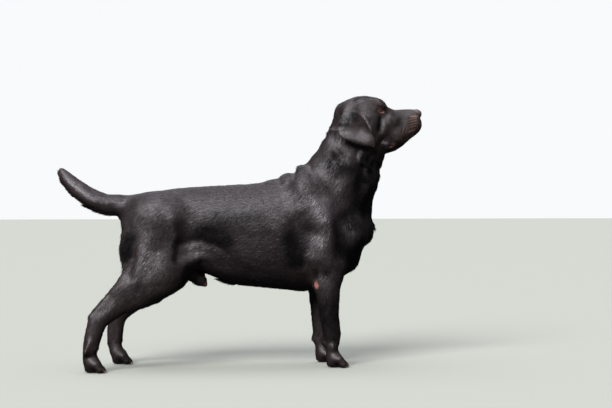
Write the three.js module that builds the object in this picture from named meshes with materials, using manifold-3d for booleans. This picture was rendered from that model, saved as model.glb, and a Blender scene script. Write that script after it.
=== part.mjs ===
// A life-size still model of a male Labrador retriever, standing in a show stack with its hind legs
// stretched back and its head raised. Millimetres, +Z up, +X towards the nose, +Y the dog's left side.
// The dog stands on Z = 0.
//
// The body is one signed field: a barrel lofted through a few stations, with muscles, limbs, neck and head
// blended into it. Each region of the field is meshed at its own cell size, then parted from its neighbours
// by thin cuts.

import * as THREE from "three";
import { SimplifyModifier } from "three/addons/modifiers/SimplifyModifier.js";
import { mergeVertices } from "three/addons/utils/BufferGeometryUtils.js";
import Module from "manifold-3d";

// ---------------------------------------------------------------- driving dimensions

const GAP = 0.3; // between touching pieces
const GROWTH = 0.45; // how far a neighbour is grown before it is cut away, so that its edges keep the gap
const SIDES = { right: -1, left: 1 };

const CHEST_HALF = 108; // widest half width of the ribs
const LOIN_HALF = 84;

// Barrel stations from rump to forechest: x, top line, under line, half width, height of the widest point.
const BARREL = [
  [-330, 500, 404, 40, 455],
  [-296, 519, 360, 72, 452],
  [-240, 529, 326, 84, 452],
  [-170, 538, 300, LOIN_HALF, 444],
  [-95, 543, 278, LOIN_HALF + 6, 428],
  [-20, 547, 249, CHEST_HALF - 8, 410],
  [60, 553, 237, CHEST_HALF, 402],
  [130, 571, 229, CHEST_HALF - 2, 402],
  [200, 588, 225, 98, 404],
  [260, 578, 240, 86, 410],
  [312, 556, 270, 72, 415],
  [352, 526, 320, 52, 420],
];

// Neck from its base to the nape: x, y, z, fore-aft radius, lateral radius.
const NECK = [
  [280, 0, 500, 130, 76],
  [313, 0, 562, 115, 70],
  [344, 0, 634, 101, 63],
  [366, 0, 700, 93, 58],
];

// Ellipsoids that a side of the trunk is made of: centre, radii, nose-up pitch in degrees, blend width.
const TRUNK_SIDE = {
  shoulderBlade: { at: [216, 54, 486], radii: [60, 42, 94], pitch: 22, melt: 40 },
  pointOfShoulder: { at: [338, 46, 392], radii: [44, 42, 60], pitch: -14, melt: 36 },
  triceps: { at: [250, 68, 350], radii: [60, 35, 70], pitch: -20, melt: 34 },
  haunch: { at: [-250, 54, 452], radii: [76, 40, 62], pitch: 10, melt: 40 },
  buttock: { at: [-304, 58, 364], radii: [44, 36, 76], pitch: -12, melt: 30 },
  flankFold: { at: [-176, 56, 318], radii: [42, 26, 40], pitch: 36, melt: 34 },
};
const TRUNK_MIDDLE = {
  breastbone: { at: [370, 0, 414], radii: [44, 36, 56], pitch: 8, melt: 26 },
  brisket: { at: [316, 0, 336], radii: [50, 50, 58], pitch: 30, melt: 30 },
  throat: { at: [404, 0, 680], radii: [50, 46, 42], pitch: 12, melt: 24 },
};

// Soft swells (positive height) and creases (negative) on a side: from, to, height, width.
const SIDE_MARKS = {
  behindTriceps: { from: [196, 104, 400], to: [226, 104, 300], height: -9, width: 24 },
  beforeTriceps: { from: [306, 92, 430], to: [296, 98, 330], height: -5, width: 20 },
  spineOfBlade: { from: [180, 86, 548], to: [262, 96, 440], height: 4, width: 20 },
  aboveShoulderPoint: { from: [350, 62, 470], to: [374, 38, 410], height: -4, width: 20 },
  jugularFurrow: { from: [408, 40, 590], to: [390, 46, 470], height: -6, width: 17 },
  neckMuscle: { from: [370, 60, 660], to: [320, 84, 520], height: 4, width: 26 },
  besideBreastbone: { from: [380, 48, 440], to: [354, 66, 400], height: -3, width: 15 },
  ribs: { from: [-20, 104, 470], to: [110, 110, 440], height: 3, width: 50 },
  flankHollow: { from: [-150, 90, 452], to: [-166, 94, 350], height: -8, width: 26 },
  belowRibs: { from: [-92, 84, 330], to: [-30, 92, 300], height: -5, width: 26 },
  longThighMuscle: { from: [-272, 112, 390], to: [-316, 122, 262], height: 4, width: 22 },
  behindThighMuscle: { from: [-328, 92, 420], to: [-330, 114, 276], height: -4, width: 16 },
};
const MIDDLE_MARKS = {
  throatRidge: { from: [424, 0, 560], to: [412, 0, 470], height: 4, width: 18 },
  withersRoll: { from: [186, -24, 600], to: [186, 24, 600], height: 8, width: 13 },
  backRoll: { from: [145, -24, 586], to: [145, 24, 586], height: 10, width: 12 },
  betweenRolls: { from: [167, -30, 592], to: [167, 30, 592], height: -5, width: 9 },
};

// Leg joints from the body down: x, lateral offset, z, fore-aft radius, lateral radius, share of the stride.
const FORELEG = [
  [268, 66, 300, 50, 34, 0],
  [260, 72, 246, 40, 30, 0],
  [261, 74, 200, 34, 27, 0.2],
  [265, 74, 150, 29, 24, 0.5],
  [271, 73, 100, 27.5, 23, 0.9],
  [272, 73, 62, 23, 22, 1],
  [273, 74, 34, 21, 24, 1],
];
const HINDLEG = [
  [-256, 54, 420, 88, 40, 0.1],
  [-256, 72, 345, 90, 38, 0.22],
  [-246, 86, 285, 66, 32, 0.4],
  [-310, 96, 236, 56, 29, 0.58],
  [-366, 102, 197, 36, 23, 0.66],
  [-419, 107, 152, 29, 19, 0.74],
  [-436, 109, 106, 26, 19, 0.82],
  [-445, 110, 62, 23.5, 19, 0.92],
  [-445, 111, 34, 20, 22, 1],
];
// How far forward each paw is set.
const STRIDE = { fore: { right: 0, left: -9 }, hind: { right: 0, left: 84 } };
const STIFLE = { radii: [36, 24, 48], pitch: 30, forward: 18 };
const ELBOW = { radii: [15, 14, 21], back: 28 };
const TENDON_AT_HOCK = 11;
const TENDON_AT_CALF = 20;
const HAMSTRING = { radii: [36, 24, 58], pitch: -24, back: 25, melt: 26 };
const STOPPER_PAD = { back: 23, z: 70, radii: [9, 9, 12] };
const WRIST_FRONT = 22;
const HOCK_POINT = { back: 18, up: 6, radii: [12, 10, 15], pitch: -20 };

const FORE_PAW = { length: 62, width: 64 };
const HIND_PAW = { length: 58, width: 56 };
const TOES = 4;
const TOE_REACH = [0.84, 1, 1, 0.84]; // outer toes fall behind the middle ones
const TOE_SPACING = 0.27; // of the paw's width
const TOE_RADIUS = 11.2;
const CLAW = { length: 13.5, radius: 3.7, droop: 4, sides: 7, rings: 3 };
const CLAW_TAPER = 0.72;
const CLAW_HEIGHT = 1.2; // of its width
const CLAW_SET = { forward: 5, up: 3, tilt: 0.5 }; // where a claw leaves its toe's tip
const DEWCLAW = { ...CLAW, length: 12, radius: 3, at: [2, -21, 92], tilt: 0.95 };

// Tail joints: x, y, z, radius.
const TAIL = [
  [-296, 0, 483, 35],
  [-345, 0, 484, 33],
  [-392, 0, 488, 31],
  [-438, 0, 505, 30],
  [-476, 0, 530, 28],
  [-508, 0, 560, 23],
  [-527, 0, 586, 15],
];

// Muzzle stations from stop to nose: x, bridge, lip edge, half width, height of the widest point.
const MUZZLE = [
  [418, 776, 690, 50, 715],
  [450, 776, 674, 44, 712],
  [484, 777, 671, 40, 706],
  [516, 779, 685, 36.5, 714],
  [543, 779, 706, 32, 730],
];
const HEAD_SIDE = {
  skullRoof: { at: [376, 27, 776], radii: [64, 30, 36], melt: 18 },
  cheek: { at: [402, 39, 718], radii: [54, 25, 44], pitch: -12, melt: 22 },
  brow: { at: [418, 30, 792], radii: [24, 16, 15], pitch: -18, yaw: 24, melt: 12 },
  cheekbone: { at: [396, 46, 748], radii: [34, 14, 15], pitch: -8, yaw: -12, melt: 14 },
  maxilla: { at: [462, 29, 738], radii: [26, 15, 22], yaw: -10, melt: 14 },
  flew: { at: [512, 24, 714], radii: [42, 15, 27], pitch: 24, yaw: -6, melt: 14 },
  whiskerPad: { at: [540, 17, 735], radii: [20, 15.5, 19], pitch: 10, yaw: -14, melt: 10 },
  lipCorner: { at: [468, 34, 690], radii: [33, 13, 24], pitch: 30, melt: 16 },
  earRoot: { at: [330, 44, 768], radii: [24, 14, 18], pitch: 40, melt: 18 },
};
const HEAD_MIDDLE = {
  cranium: { at: [384, 0, 756], radii: [86, 58, 61], melt: 20 },
  occiput: { at: [326, 0, 768], radii: [28, 22, 22], pitch: -30, melt: 20 },
  forehead: { at: [427, 0, 782], radii: [24, 30, 20], pitch: -20, melt: 18 },
};
const HEAD_SIDE_MARKS = {
  belowEye: { from: [430, 52, 748], to: [424, 58, 712], height: -8, width: 10 },
  temple: { from: [366, 58, 788], to: [396, 54, 786], height: -3, width: 12 },
  eyeHollow: { from: [446, 44, 764], to: [430, 50, 768], height: -6, width: 13 },
  besideBridge: { from: [472, 36, 760], to: [512, 31, 762], height: -3, width: 10 },
  behindMouth: { from: [436, 56, 690], to: [424, 56, 660], height: -4, width: 9 },
};
const HEAD_MIDDLE_MARKS = {
  foreheadFurrow: { from: [418, 0, 818], to: [452, 0, 792], height: -4, width: 9 },
  stop: { from: [456, -14, 790], to: [456, 14, 790], height: -4, width: 9 },
  underNose: { from: [557, 0, 750], to: [560, 0, 728], height: -3, width: 4 },
};
// Lower jaw from the chin back: x, y, z, height radius, lateral radius.
const JAW = [
  [546, 0, 723, 14, 21],
  [524, 0, 706, 16.5, 25],
  [480, 0, 675, 21, 32],
  [450, 0, 668, 26, 39],
];

const EYE = { at: [420, 38.5, 769], radius: 11.5, gaze: [0.66, 0.74, 0.12] };
const LIDS = { thick: 2.2, width: 20, height: 13.5, tilt: 12 };
const NOSE = { at: [545, 0, 763], radii: [18, 21, 16] };
const NOSTRIL = { at: [561, 9, 763], radii: [9, 3.6, 4.4] };
const NOSTRIL_SLIT = { at: [558, 14, 759], radii: [7, 5, 1.6], turn: 0.7 };

// An ear hangs from its root to its tip: front edge and rear edge at each row, [x, y, z], and how far it
// cups outwards.
const EAR_ROWS = [
  { front: [345, 47, 781], rear: [319, 42, 784], cup: 3 },
  { front: [356, 60, 762], rear: [308, 57, 766], cup: 8 },
  { front: [378, 67, 730], rear: [293, 66, 731], cup: 11 },
  { front: [397, 69, 694], rear: [293, 69, 698], cup: 9 },
  { front: [402, 69, 675], rear: [312, 70, 682], cup: 6 },
  { front: [396, 68, 660], rear: [370, 69, 663], cup: 1.5 },
];
const EAR_HALF_THICK = 2.4;
const EAR_RIM = 0.45; // of the full thickness
const EAR_TAPER = 0.4; // how much thinner the tip is than the root

// Cuts between neighbours: straight lines in the XZ plane, from, to. The first named lies on the left.
const HEAD_CUT = [
  [288, 760],
  [440, 628],
];
const NECK_CUT = [
  [196, 612],
  [414, 446],
];
const FORELEG_CUT = [
  [38, 236],
  [60, 266],
  [150, 304],
  [150, -20],
  [38, -20],
]; // lateral offset and z, seen from the front
const FORELEG_SPAN = [204, 350];
const HINDLEG_CUT = [
  [-160, 236],
  [-166, 330],
  [-190, 408],
  [-232, 458],
  [-296, 472],
  [-340, 448],
  [-382, 436],
  [-560, 436],
  [-560, -20],
  [-160, -20],
]; // x and z, seen from the side
const HINDLEG_INSIDE = 33;
const PAW_TOP = 44;
const TAIL_CUT_X = -346;
const TAIL_UNDER = 446;
const TAIL_WIDE = 36;

const SHEATH = [
  [-150, 0, 288, 25],
  [-118, 0, 262, 19],
  [-101, 0, 247, 9],
];
const SCROTUM = { at: [-262, 0, 300], radii: [20, 19, 26] };

// ---------------------------------------------------------------- small maths

const clamp = (v, lo, hi) => Math.min(hi, Math.max(lo, v));
const mix = (a, b, t) => a + (b - a) * t;
const length = (x, y, z) => Math.sqrt(x * x + y * y + z * z);

// Smooth union of two distances, rounded over a width k.
function blend(a, b, k) {
  const h = Math.max(k - Math.abs(a - b), 0) / k;
  return Math.min(a, b) - h * h * k * 0.25;
}

// Smooth curves through the rows, each later column as a function of the first: fills `out` for an x.
function stations(rows) {
  const n = rows.length;
  const slope = (i, c) => {
    const a = rows[Math.max(i - 1, 0)];
    const b = rows[Math.min(i + 1, n - 1)];
    return (b[c] - a[c]) / (b[0] - a[0]);
  };
  return (x, out) => {
    let i = 0;
    while (i < n - 2 && x > rows[i + 1][0]) i++;
    const a = rows[i];
    const b = rows[i + 1];
    const h = b[0] - a[0];
    const t = clamp((x - a[0]) / h, 0, 1);
    const t2 = t * t;
    const t3 = t2 * t;
    for (let c = 1; c < a.length; c++) {
      const ends = (2 * t3 - 3 * t2 + 1) * a[c] + (3 * t2 - 2 * t3) * b[c];
      out[c - 1] = ends + ((t3 - 2 * t2 + t) * slope(i, c) + (t3 - t2) * slope(i + 1, c)) * h;
    }
    return out;
  };
}

// ---------------------------------------------------------------- field primitives, each with a bounding ball

// A lofted body along X. Its section is an ellipse of power `up` above its widest height, `down` below.
function loft(rows, { up = 2, down = 2.3, cap = 30 }) {
  const at = stations(rows);
  const [first, last] = [rows[0][0], rows[rows.length - 1][0]];
  const row = [0, 0, 0, 0];
  const distance = (x, y, z) => {
    const nearest = clamp(x, first, last);
    const [top, under, half, widest] = at(nearest, row);
    const dx = x - nearest;
    const dz = z - widest;
    const p = dz > 0 ? up : down;
    const rz = dz > 0 ? top - widest : widest - under;
    const ring = (Math.abs(y / half) ** p + Math.abs(dz / rz) ** p) ** (1 / p);
    const k = Math.sqrt(ring * ring + (dx / cap) ** 2);
    return k < 1e-6 ? -half : length(dx, y, dz) * (1 - 1 / k);
  };
  const [, top, under, , widest] = rows[rows.length >> 1];
  const reach = (last - first) / 2 + top - under;
  return { distance, centre: [(first + last) / 2, 0, widest], reach };
}

// An ellipsoid, pitched nose-up by `pitch` degrees and turned outwards by `yaw` degrees.
function ball([cx, cy, cz], [rx, ry, rz], pitch = 0, yaw = 0) {
  const euler = new THREE.Euler(0, -THREE.MathUtils.degToRad(pitch), THREE.MathUtils.degToRad(yaw), "ZYX");
  const e = new THREE.Matrix4().makeRotationFromEuler(euler).invert().elements;
  const distance = (x, y, z) => {
    const dx = x - cx;
    const dy = y - cy;
    const dz = z - cz;
    const lx = (e[0] * dx + e[4] * dy + e[8] * dz) / rx;
    const ly = (e[1] * dx + e[5] * dy + e[9] * dz) / ry;
    const lz = (e[2] * dx + e[6] * dy + e[10] * dz) / rz;
    const k = length(lx, ly, lz);
    return k < 1e-6 ? -Math.min(rx, ry, rz) : length(dx, dy, dz) * (1 - 1 / k);
  };
  return { distance, centre: [cx, cy, cz], reach: Math.max(rx, ry, rz) };
}

// A limb segment between joints [x, y, z, fore-aft radius, lateral radius].
function bone(a, b) {
  const [ax, ay, az, ra, wa = ra] = a;
  const [bx, by, bz, rb, wb = rb] = b;
  const [ux, uy, uz] = [bx - ax, by - ay, bz - az];
  const len2 = ux * ux + uy * uy + uz * uz;
  // The lateral direction: Y made perpendicular to the segment.
  const side = new THREE.Vector3((-ux * uy) / len2, 1 - (uy * uy) / len2, (-uz * uy) / len2).normalize();
  const distance = (x, y, z) => {
    const t = clamp(((x - ax) * ux + (y - ay) * uy + (z - az) * uz) / len2, 0, 1);
    const dx = x - ax - ux * t;
    const dy = y - ay - uy * t;
    const dz = z - az - uz * t;
    const across = dx * side.x + dy * side.y + dz * side.z;
    const len = length(dx, dy, dz);
    const rest2 = Math.max(len * len - across * across, 0);
    const r = mix(ra, rb, t);
    const w = mix(wa, wb, t);
    const k = Math.sqrt(rest2 / (r * r) + (across * across) / (w * w));
    return k < 1e-6 ? -Math.min(r, w) : len * (1 - 1 / k);
  };
  const centre = [(ax + bx) / 2, (ay + by) / 2, (az + bz) / 2];
  return { distance, centre, reach: Math.sqrt(len2) / 2 + Math.max(ra, rb, wa, wb) };
}

// The segments through a list of joints, after each joint has been eased along a curve through them all.
function chain(joints, steps = 3) {
  const place = new THREE.CatmullRomCurve3(joints.map(([x, y, z]) => new THREE.Vector3(x, y, z)));
  const width = new THREE.CatmullRomCurve3(joints.map(([, , , r, w = r]) => new THREE.Vector3(r, w, 0)));
  const count = (joints.length - 1) * steps;
  const fine = Array.from({ length: count + 1 }, (_, i) => {
    const [p, q] = [place.getPoint(i / count), width.getPoint(i / count)];
    return [p.x, p.y, p.z, q.x, q.y];
  });
  return fine.slice(1).map((b, i) => bone(fine[i], b));
}

// A soft swell or crease along a line, fading over a width.
function stroke({ from: a, to: b, height, width }) {
  const [ux, uy, uz] = [b[0] - a[0], b[1] - a[1], b[2] - a[2]];
  const len2 = ux * ux + uy * uy + uz * uz || 1;
  const limit = 9 * width * width;
  return (x, y, z) => {
    const [px, py, pz] = [x - a[0], y - a[1], z - a[2]];
    const t = clamp((px * ux + py * uy + pz * uz) / len2, 0, 1);
    const d2 = (px - ux * t) ** 2 + (py - uy * t) ** 2 + (pz - uz * t) ** 2;
    return d2 > limit ? 0 : -height * Math.exp(-d2 / (width * width));
  };
}

// A form built up from primitives, each blended over its own width, then worked with strokes.
class Form {
  parts = [];
  strokes = [];
  add(part, melt = 20) {
    this.parts.push({ ...part, melt });
    return this;
  }
  addChain(joints, melt, steps) {
    // Segments of one limb only touch each other: a narrow blend keeps their joints from swelling.
    const segments = chain(joints, steps);
    const distance = (x, y, z) => segments.reduce((d, s) => Math.min(d, s.distance(x, y, z)), 1e3);
    const centres = segments.map(({ centre }) => new THREE.Vector3(...centre));
    const round = new THREE.Sphere().setFromPoints(centres);
    const reach = round.radius + Math.max(...segments.map((s) => s.reach));
    return this.add({ distance, centre: round.center.toArray(), reach }, melt);
  }
  addAll(ellipsoids, s = 1) {
    for (const { at, radii, pitch, yaw = 0, melt } of Object.values(ellipsoids)) {
      this.add(ball(mirrored(at, s), radii, pitch, s * yaw), melt);
    }
    return this;
  }
  work(marks, s = 1) {
    for (const mark of Object.values(marks)) {
      this.strokes.push(stroke({ ...mark, from: mirrored(mark.from, s), to: mirrored(mark.to, s) }));
    }
    return this;
  }
  field() {
    const { parts, strokes } = this;
    return (x, y, z) => {
      let d = 1e3;
      for (const { distance, centre, reach, melt } of parts) {
        const nearest = length(x - centre[0], y - centre[1], z - centre[2]) - reach;
        if (nearest < d + melt) d = blend(d, distance(x, y, z), melt);
      }
      if (Math.abs(d) < 60) for (const s of strokes) d += s(x, y, z);
      return d;
    };
  }
}

const mirrored = ([x, y, z], s) => [x, s * y, z];

// ---------------------------------------------------------------- the dog's form

const jointsOf = (leg, stride, s) =>
  leg.map(([x, y, z, r, w, share]) => [x + stride * share, s * y, z, r, w]);

function foreleg(form, side, s) {
  const joints = jointsOf(FORELEG, STRIDE.fore[side], s);
  const [, elbow, forearm, , wrist] = joints;
  form.addChain(joints, 26);
  form.add(ball([elbow[0] - ELBOW.back, elbow[1], elbow[2] + 6], ELBOW.radii, -10), 16);
  form.add(ball([wrist[0] - STOPPER_PAD.back, wrist[1], STOPPER_PAD.z], STOPPER_PAD.radii), 16);
  const front = wrist[0] + WRIST_FRONT;
  const muscle = [forearm[0], s * 103, 236];
  form.work({
    forearmMuscle: { from: muscle, to: [muscle[0] + 6, s * 100, 160], height: 3, width: 14 },
    wristBone: { from: [front, wrist[1], 106], to: [front, wrist[1], 94], height: 3, width: 14 },
  });
}

function hindleg(form, side, s) {
  const joints = jointsOf(HINDLEG, STRIDE.hind[side], s);
  const [, thigh, stifle, calf, shin, hock] = joints;
  form.addChain(joints.slice(0, 3), 40);
  form.addChain(joints.slice(2), 26);
  form.add(ball([stifle[0] + STIFLE.forward, stifle[1], stifle[2] + 8], STIFLE.radii, STIFLE.pitch), 30);
  const tendon = [
    [hock[0] - 16, hock[1], hock[2] + 10, TENDON_AT_HOCK, 9],
    [calf[0] - 36, calf[1], calf[2] + 22, TENDON_AT_CALF, 16],
  ];
  form.add(bone(...tendon), 16);
  const [x, y, z] = [0, 1, 2].map((axis) => (thigh[axis] + calf[axis]) / 2);
  form.add(ball([x - HAMSTRING.back, y, z], HAMSTRING.radii, HAMSTRING.pitch), HAMSTRING.melt);
  const heel = [hock[0] - HOCK_POINT.back, hock[1], hock[2] + HOCK_POINT.up];
  form.add(ball(heel, HOCK_POINT.radii, HOCK_POINT.pitch), 10);
  form.work({
    beforeTendon: {
      from: [shin[0] - 14, s * 118, shin[2] + 26],
      to: [hock[0] - 4, s * 120, hock[2] + 18],
      height: -4,
      width: 10,
    },
  });
}

// Toes fan out from the pastern, knuckle up and tip down, each on its own pad.
function toesOf([px, py], { length: long, width }) {
  return TOE_REACH.map((reach, i) => {
    const spread = (i - (TOES - 1) / 2) * TOE_SPACING * width;
    const root = [px - 2, py + spread * 0.6, 28, TOE_RADIUS];
    const knuckle = [px + long * 0.3 * reach, py + spread * 0.95, 26, TOE_RADIUS];
    const tip = [px + long * 0.55 * reach, py + spread * 1.06, 11, TOE_RADIUS];
    return { root, knuckle, tip };
  });
}

function paw(form, spot, size) {
  const [px, py] = spot;
  form.add(ball([px + 5, py, 24], [size.length * 0.36, size.width * 0.4, 20], -12), 14);
  const mainPad = ball([px + size.length * 0.06, py, 11], [size.length * 0.34, size.width * 0.3, 13]);
  form.add(mainPad, 8);
  for (const { root, knuckle, tip } of toesOf(spot, size)) {
    form.add(bone(root, knuckle), 5);
    form.add(bone(knuckle, tip), 4);
  }
}

const spotOf = (leg, stride, s) => {
  const [x, y, , , , share] = leg[leg.length - 1];
  return [x + stride * share, s * y];
};
const pawSpots = (side, s) => ({
  fore: spotOf(FORELEG, STRIDE.fore[side], s),
  hind: spotOf(HINDLEG, STRIDE.hind[side], s),
});

const body = new Form();
body.add(loft(BARREL, { up: 1.9, down: 2.3, cap: 26 }), 30);
body.addChain(NECK, 30);
body.addAll(TRUNK_MIDDLE).work(MIDDLE_MARKS);
for (const [side, s] of Object.entries(SIDES)) {
  const spots = pawSpots(side, s);
  body.addAll(TRUNK_SIDE, s).work(SIDE_MARKS, s);
  foreleg(body, side, s);
  hindleg(body, side, s);
  paw(body, spots.fore, FORE_PAW);
  paw(body, spots.hind, HIND_PAW);
}
body.addChain(TAIL, 12);
body.addAll(HEAD_MIDDLE).work(HEAD_MIDDLE_MARKS);
body.add(loft(MUZZLE, { up: 2.6, down: 2.6, cap: 15 }), 16);
for (const s of Object.values(SIDES)) body.addAll(HEAD_SIDE, s).work(HEAD_SIDE_MARKS, s);
const flesh = body.field();

// ---------------------------------------------------------------- meshing a field

function gradient(f, [x, y, z], h = 0.4) {
  return [
    (f(x + h, y, z) - f(x - h, y, z)) / (2 * h),
    (f(x, y + h, z) - f(x, y - h, z)) / (2 * h),
    (f(x, y, z + h) - f(x, y, z - h)) / (2 * h),
  ];
}

// Surface nets over a box: one vertex for each cell that the surface crosses, then evened out and set on
// the surface.
function meshField(f, [lo, hi], cell, rounds = 3) {
  const [nx, ny, nz] = lo.map((v, i) => Math.ceil((hi[i] - v) / cell) + 1);
  const at = (i, j, k) => (k * ny + j) * nx + i;
  const value = new Float32Array(nx * ny * nz);
  for (let k = 0; k < nz; k++)
    for (let j = 0; j < ny; j++)
      for (let i = 0; i < nx; i++) {
        const rim = i * j * k === 0 || i === nx - 1 || j === ny - 1 || k === nz - 1;
        const d = f(lo[0] + i * cell, lo[1] + j * cell, lo[2] + k * cell);
        value[at(i, j, k)] = rim ? Math.max(d, cell * 0.4) : d;
      }
  const corners = [0, 1, 2, 3, 4, 5, 6, 7].map((c) => [c & 1, (c >> 1) & 1, (c >> 2) & 1]);
  const edgeOf = (c, axis) => ({ c, d: c.map((v, m) => (m === axis ? 1 : v)), axis });
  const edges = corners.flatMap((c) => [0, 1, 2].filter((axis) => !c[axis]).map((axis) => edgeOf(c, axis)));
  const vertexOf = new Int32Array(nx * ny * nz).fill(-1);
  const points = [];
  for (let k = 0; k < nz - 1; k++)
    for (let j = 0; j < ny - 1; j++)
      for (let i = 0; i < nx - 1; i++) {
        const sum = [0, 0, 0];
        let count = 0;
        for (const { c, d, axis } of edges) {
          const a = value[at(i + c[0], j + c[1], k + c[2])];
          const b = value[at(i + d[0], j + d[1], k + d[2])];
          if (a < 0 === b < 0) continue;
          for (let m = 0; m < 3; m++) sum[m] += c[m] + (m === axis ? a / (a - b) : 0);
          count++;
        }
        if (!count) continue;
        vertexOf[at(i, j, k)] = points.length / 3;
        points.push(...[i, j, k].map((v, m) => lo[m] + (v + sum[m] / count) * cell));
      }
  const quads = [];
  const step = [1, nx, nx * ny];
  for (let k = 0; k < nz - 1; k++)
    for (let j = 0; j < ny - 1; j++)
      for (let i = 0; i < nx - 1; i++)
        for (let axis = 0; axis < 3; axis++) {
          const here = at(i, j, k);
          const inside = value[here] < 0;
          if (inside === value[here + step[axis]] < 0) continue;
          const [u, v] = [step[(axis + 1) % 3], step[(axis + 2) % 3]];
          const ring = [here, here - u, here - u - v, here - v].map((c) => vertexOf[c]);
          quads.push(inside ? ring : ring.reverse());
        }
  evenOut(f, points, quads, rounds);
  return soup(points, quads);
}

// Moves each vertex towards the middle of its neighbours, then back on the surface along the gradient.
function evenOut(f, points, quads, rounds) {
  const count = points.length / 3;
  for (let round = 0; round < rounds; round++) {
    const sum = new Float64Array(points.length);
    const share = new Float64Array(count);
    for (const q of quads)
      for (let i = 0; i < 4; i++) {
        const [v, w] = [q[i], q[(i + 1) % 4]];
        for (let m = 0; m < 3; m++) {
          sum[v * 3 + m] += points[w * 3 + m];
          sum[w * 3 + m] += points[v * 3 + m];
        }
        share[v]++;
        share[w]++;
      }
    for (let v = 0; v < count; v++) {
      const p = [0, 1, 2].map((m) => mix(points[v * 3 + m], sum[v * 3 + m] / share[v], 0.5));
      for (let pass = 0; pass < 2; pass++) {
        const d = clamp(f(...p), -3, 3);
        const g = gradient(f, p);
        const len2 = Math.max(g[0] ** 2 + g[1] ** 2 + g[2] ** 2, 0.2);
        for (let m = 0; m < 3; m++) p[m] -= (d * g[m]) / len2;
      }
      for (let m = 0; m < 3; m++) points[v * 3 + m] = p[m];
    }
  }
}

// Each quad split along its shorter diagonal.
function soup(points, quads) {
  const dist = (a, b) => length(...[0, 1, 2].map((m) => points[a * 3 + m] - points[b * 3 + m]));
  const index = [];
  for (const [a, b, c, d] of quads) {
    if (dist(a, c) < dist(b, d)) index.push(a, b, c, a, c, d);
    else index.push(a, b, d, b, c, d);
  }
  return surface(points, index);
}

function surface(points, index) {
  const geometry = new THREE.BufferGeometry();
  geometry.setAttribute("position", new THREE.Float32BufferAttribute(points, 3));
  geometry.setIndex(index);
  return geometry;
}

// The same surface in fewer triangles: wide ones where it is nearly flat, small ones where it bends.
async function thinned(geometry, keep) {
  const count = geometry.attributes.position.count;
  return new SimplifyModifier().modify(geometry, Math.floor(count * (1 - keep)));
}

// ---------------------------------------------------------------- cutting and joining

const wasm = await Module();
wasm.setup();

function solid(geometry) {
  const bare = new THREE.BufferGeometry();
  bare.setAttribute("position", geometry.getAttribute("position"));
  bare.setIndex(geometry.getIndex());
  const merged = mergeVertices(bare, 1e-3);
  const vertProperties = merged.attributes.position.array;
  const triVerts = new Uint32Array(merged.index.array);
  const build = () => new wasm.Manifold(new wasm.Mesh({ numProp: 3, vertProperties, triVerts }));
  const made = build();
  if (made.volume() > 0) return made;
  for (let i = 0; i < triVerts.length; i += 3) {
    [triVerts[i], triVerts[i + 1]] = [triVerts[i + 1], triVerts[i]];
  }
  return build();
}

// The largest closed surface of a solid, as a geometry.
function geometryOf(manifold) {
  const largest = manifold.decompose().reduce((a, b) => (b.volume() > a.volume() ? b : a));
  const mesh = largest.getMesh();
  const geometry = new THREE.BufferGeometry();
  geometry.setAttribute("position", new THREE.BufferAttribute(mesh.vertProperties, 3));
  geometry.setIndex(new THREE.BufferAttribute(mesh.triVerts, 1));
  return geometry;
}

// A solid grown by a distance along its vertex normals: what a neighbour is cut with, to keep the gap.
function grown(manifold, by = GROWTH) {
  const geometry = geometryOf(manifold);
  geometry.computeVertexNormals();
  const p = geometry.attributes.position;
  const n = geometry.attributes.normal;
  for (let i = 0; i < p.count; i++)
    p.setXYZ(i, p.getX(i) + n.getX(i) * by, p.getY(i) + n.getY(i) * by, p.getZ(i) + n.getZ(i) * by);
  return solid(geometry);
}

// An outline moved outwards by a distance, whichever way it runs.
function offset(outline, by) {
  const turn = THREE.ShapeUtils.isClockWise(outline.map(([u, v]) => new THREE.Vector2(u, v))) ? -1 : 1;
  const edge = ([au, av], [bu, bv]) => {
    const len = Math.hypot(bu - au, bv - av);
    return [(turn * (bv - av)) / len, (turn * (au - bu)) / len];
  };
  return outline.map((p, i) => {
    const before = edge(outline.at(i - 1), p);
    const after = edge(p, outline[(i + 1) % outline.length]);
    const scale = by / (1 + before[0] * after[0] + before[1] * after[1]);
    return [p[0] + (before[0] + after[0]) * scale, p[1] + (before[1] + after[1]) * scale];
  });
}

// A closed outline extruded along an axis: "y" takes [x, z] points, "x" takes [y, z] points.
function slab(outline, low, high, axis = "y") {
  const shape = new THREE.Shape(outline.map(([u, v]) => new THREE.Vector2(u, v)));
  const geometry = new THREE.ExtrudeGeometry(shape, { depth: high - low, bevelEnabled: false });
  const [X, Y, Z] = [new THREE.Vector3(1, 0, 0), new THREE.Vector3(0, 1, 0), new THREE.Vector3(0, 0, 1)];
  const turn = new THREE.Matrix4();
  if (axis === "x") turn.makeBasis(Y, Z, X).setPosition(low, 0, 0);
  else turn.makeBasis(X, Z, Y.clone().negate()).setPosition(0, high, 0);
  geometry.applyMatrix4(turn);
  return solid(geometry);
}

// All that lies to one side of a line in the XZ plane (1 left, -1 right of its run), half a gap clear.
function beside([[ax, az], [bx, bz]], side) {
  const len = Math.hypot(bx - ax, bz - az);
  const [tx, tz] = [(bx - ax) / len, (bz - az) / len];
  const far = 2000;
  const at = (along, away) => [ax + tx * along - tz * away * side, az + tz * along + tx * away * side];
  return slab([at(-far, GAP / 2), at(far, GAP / 2), at(far, far), at(-far, far)], -far, far);
}

const box = (x0, x1, y0, y1, z0, z1) =>
  slab(
    [
      [x0, z0],
      [x1, z0],
      [x1, z1],
      [x0, z1],
    ],
    y0,
    y1,
  );

// ---------------------------------------------------------------- regions of the body

const FLOOR = box(-2000, 2000, -2000, 2000, 0, 2000); // all that is above the floor

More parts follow.
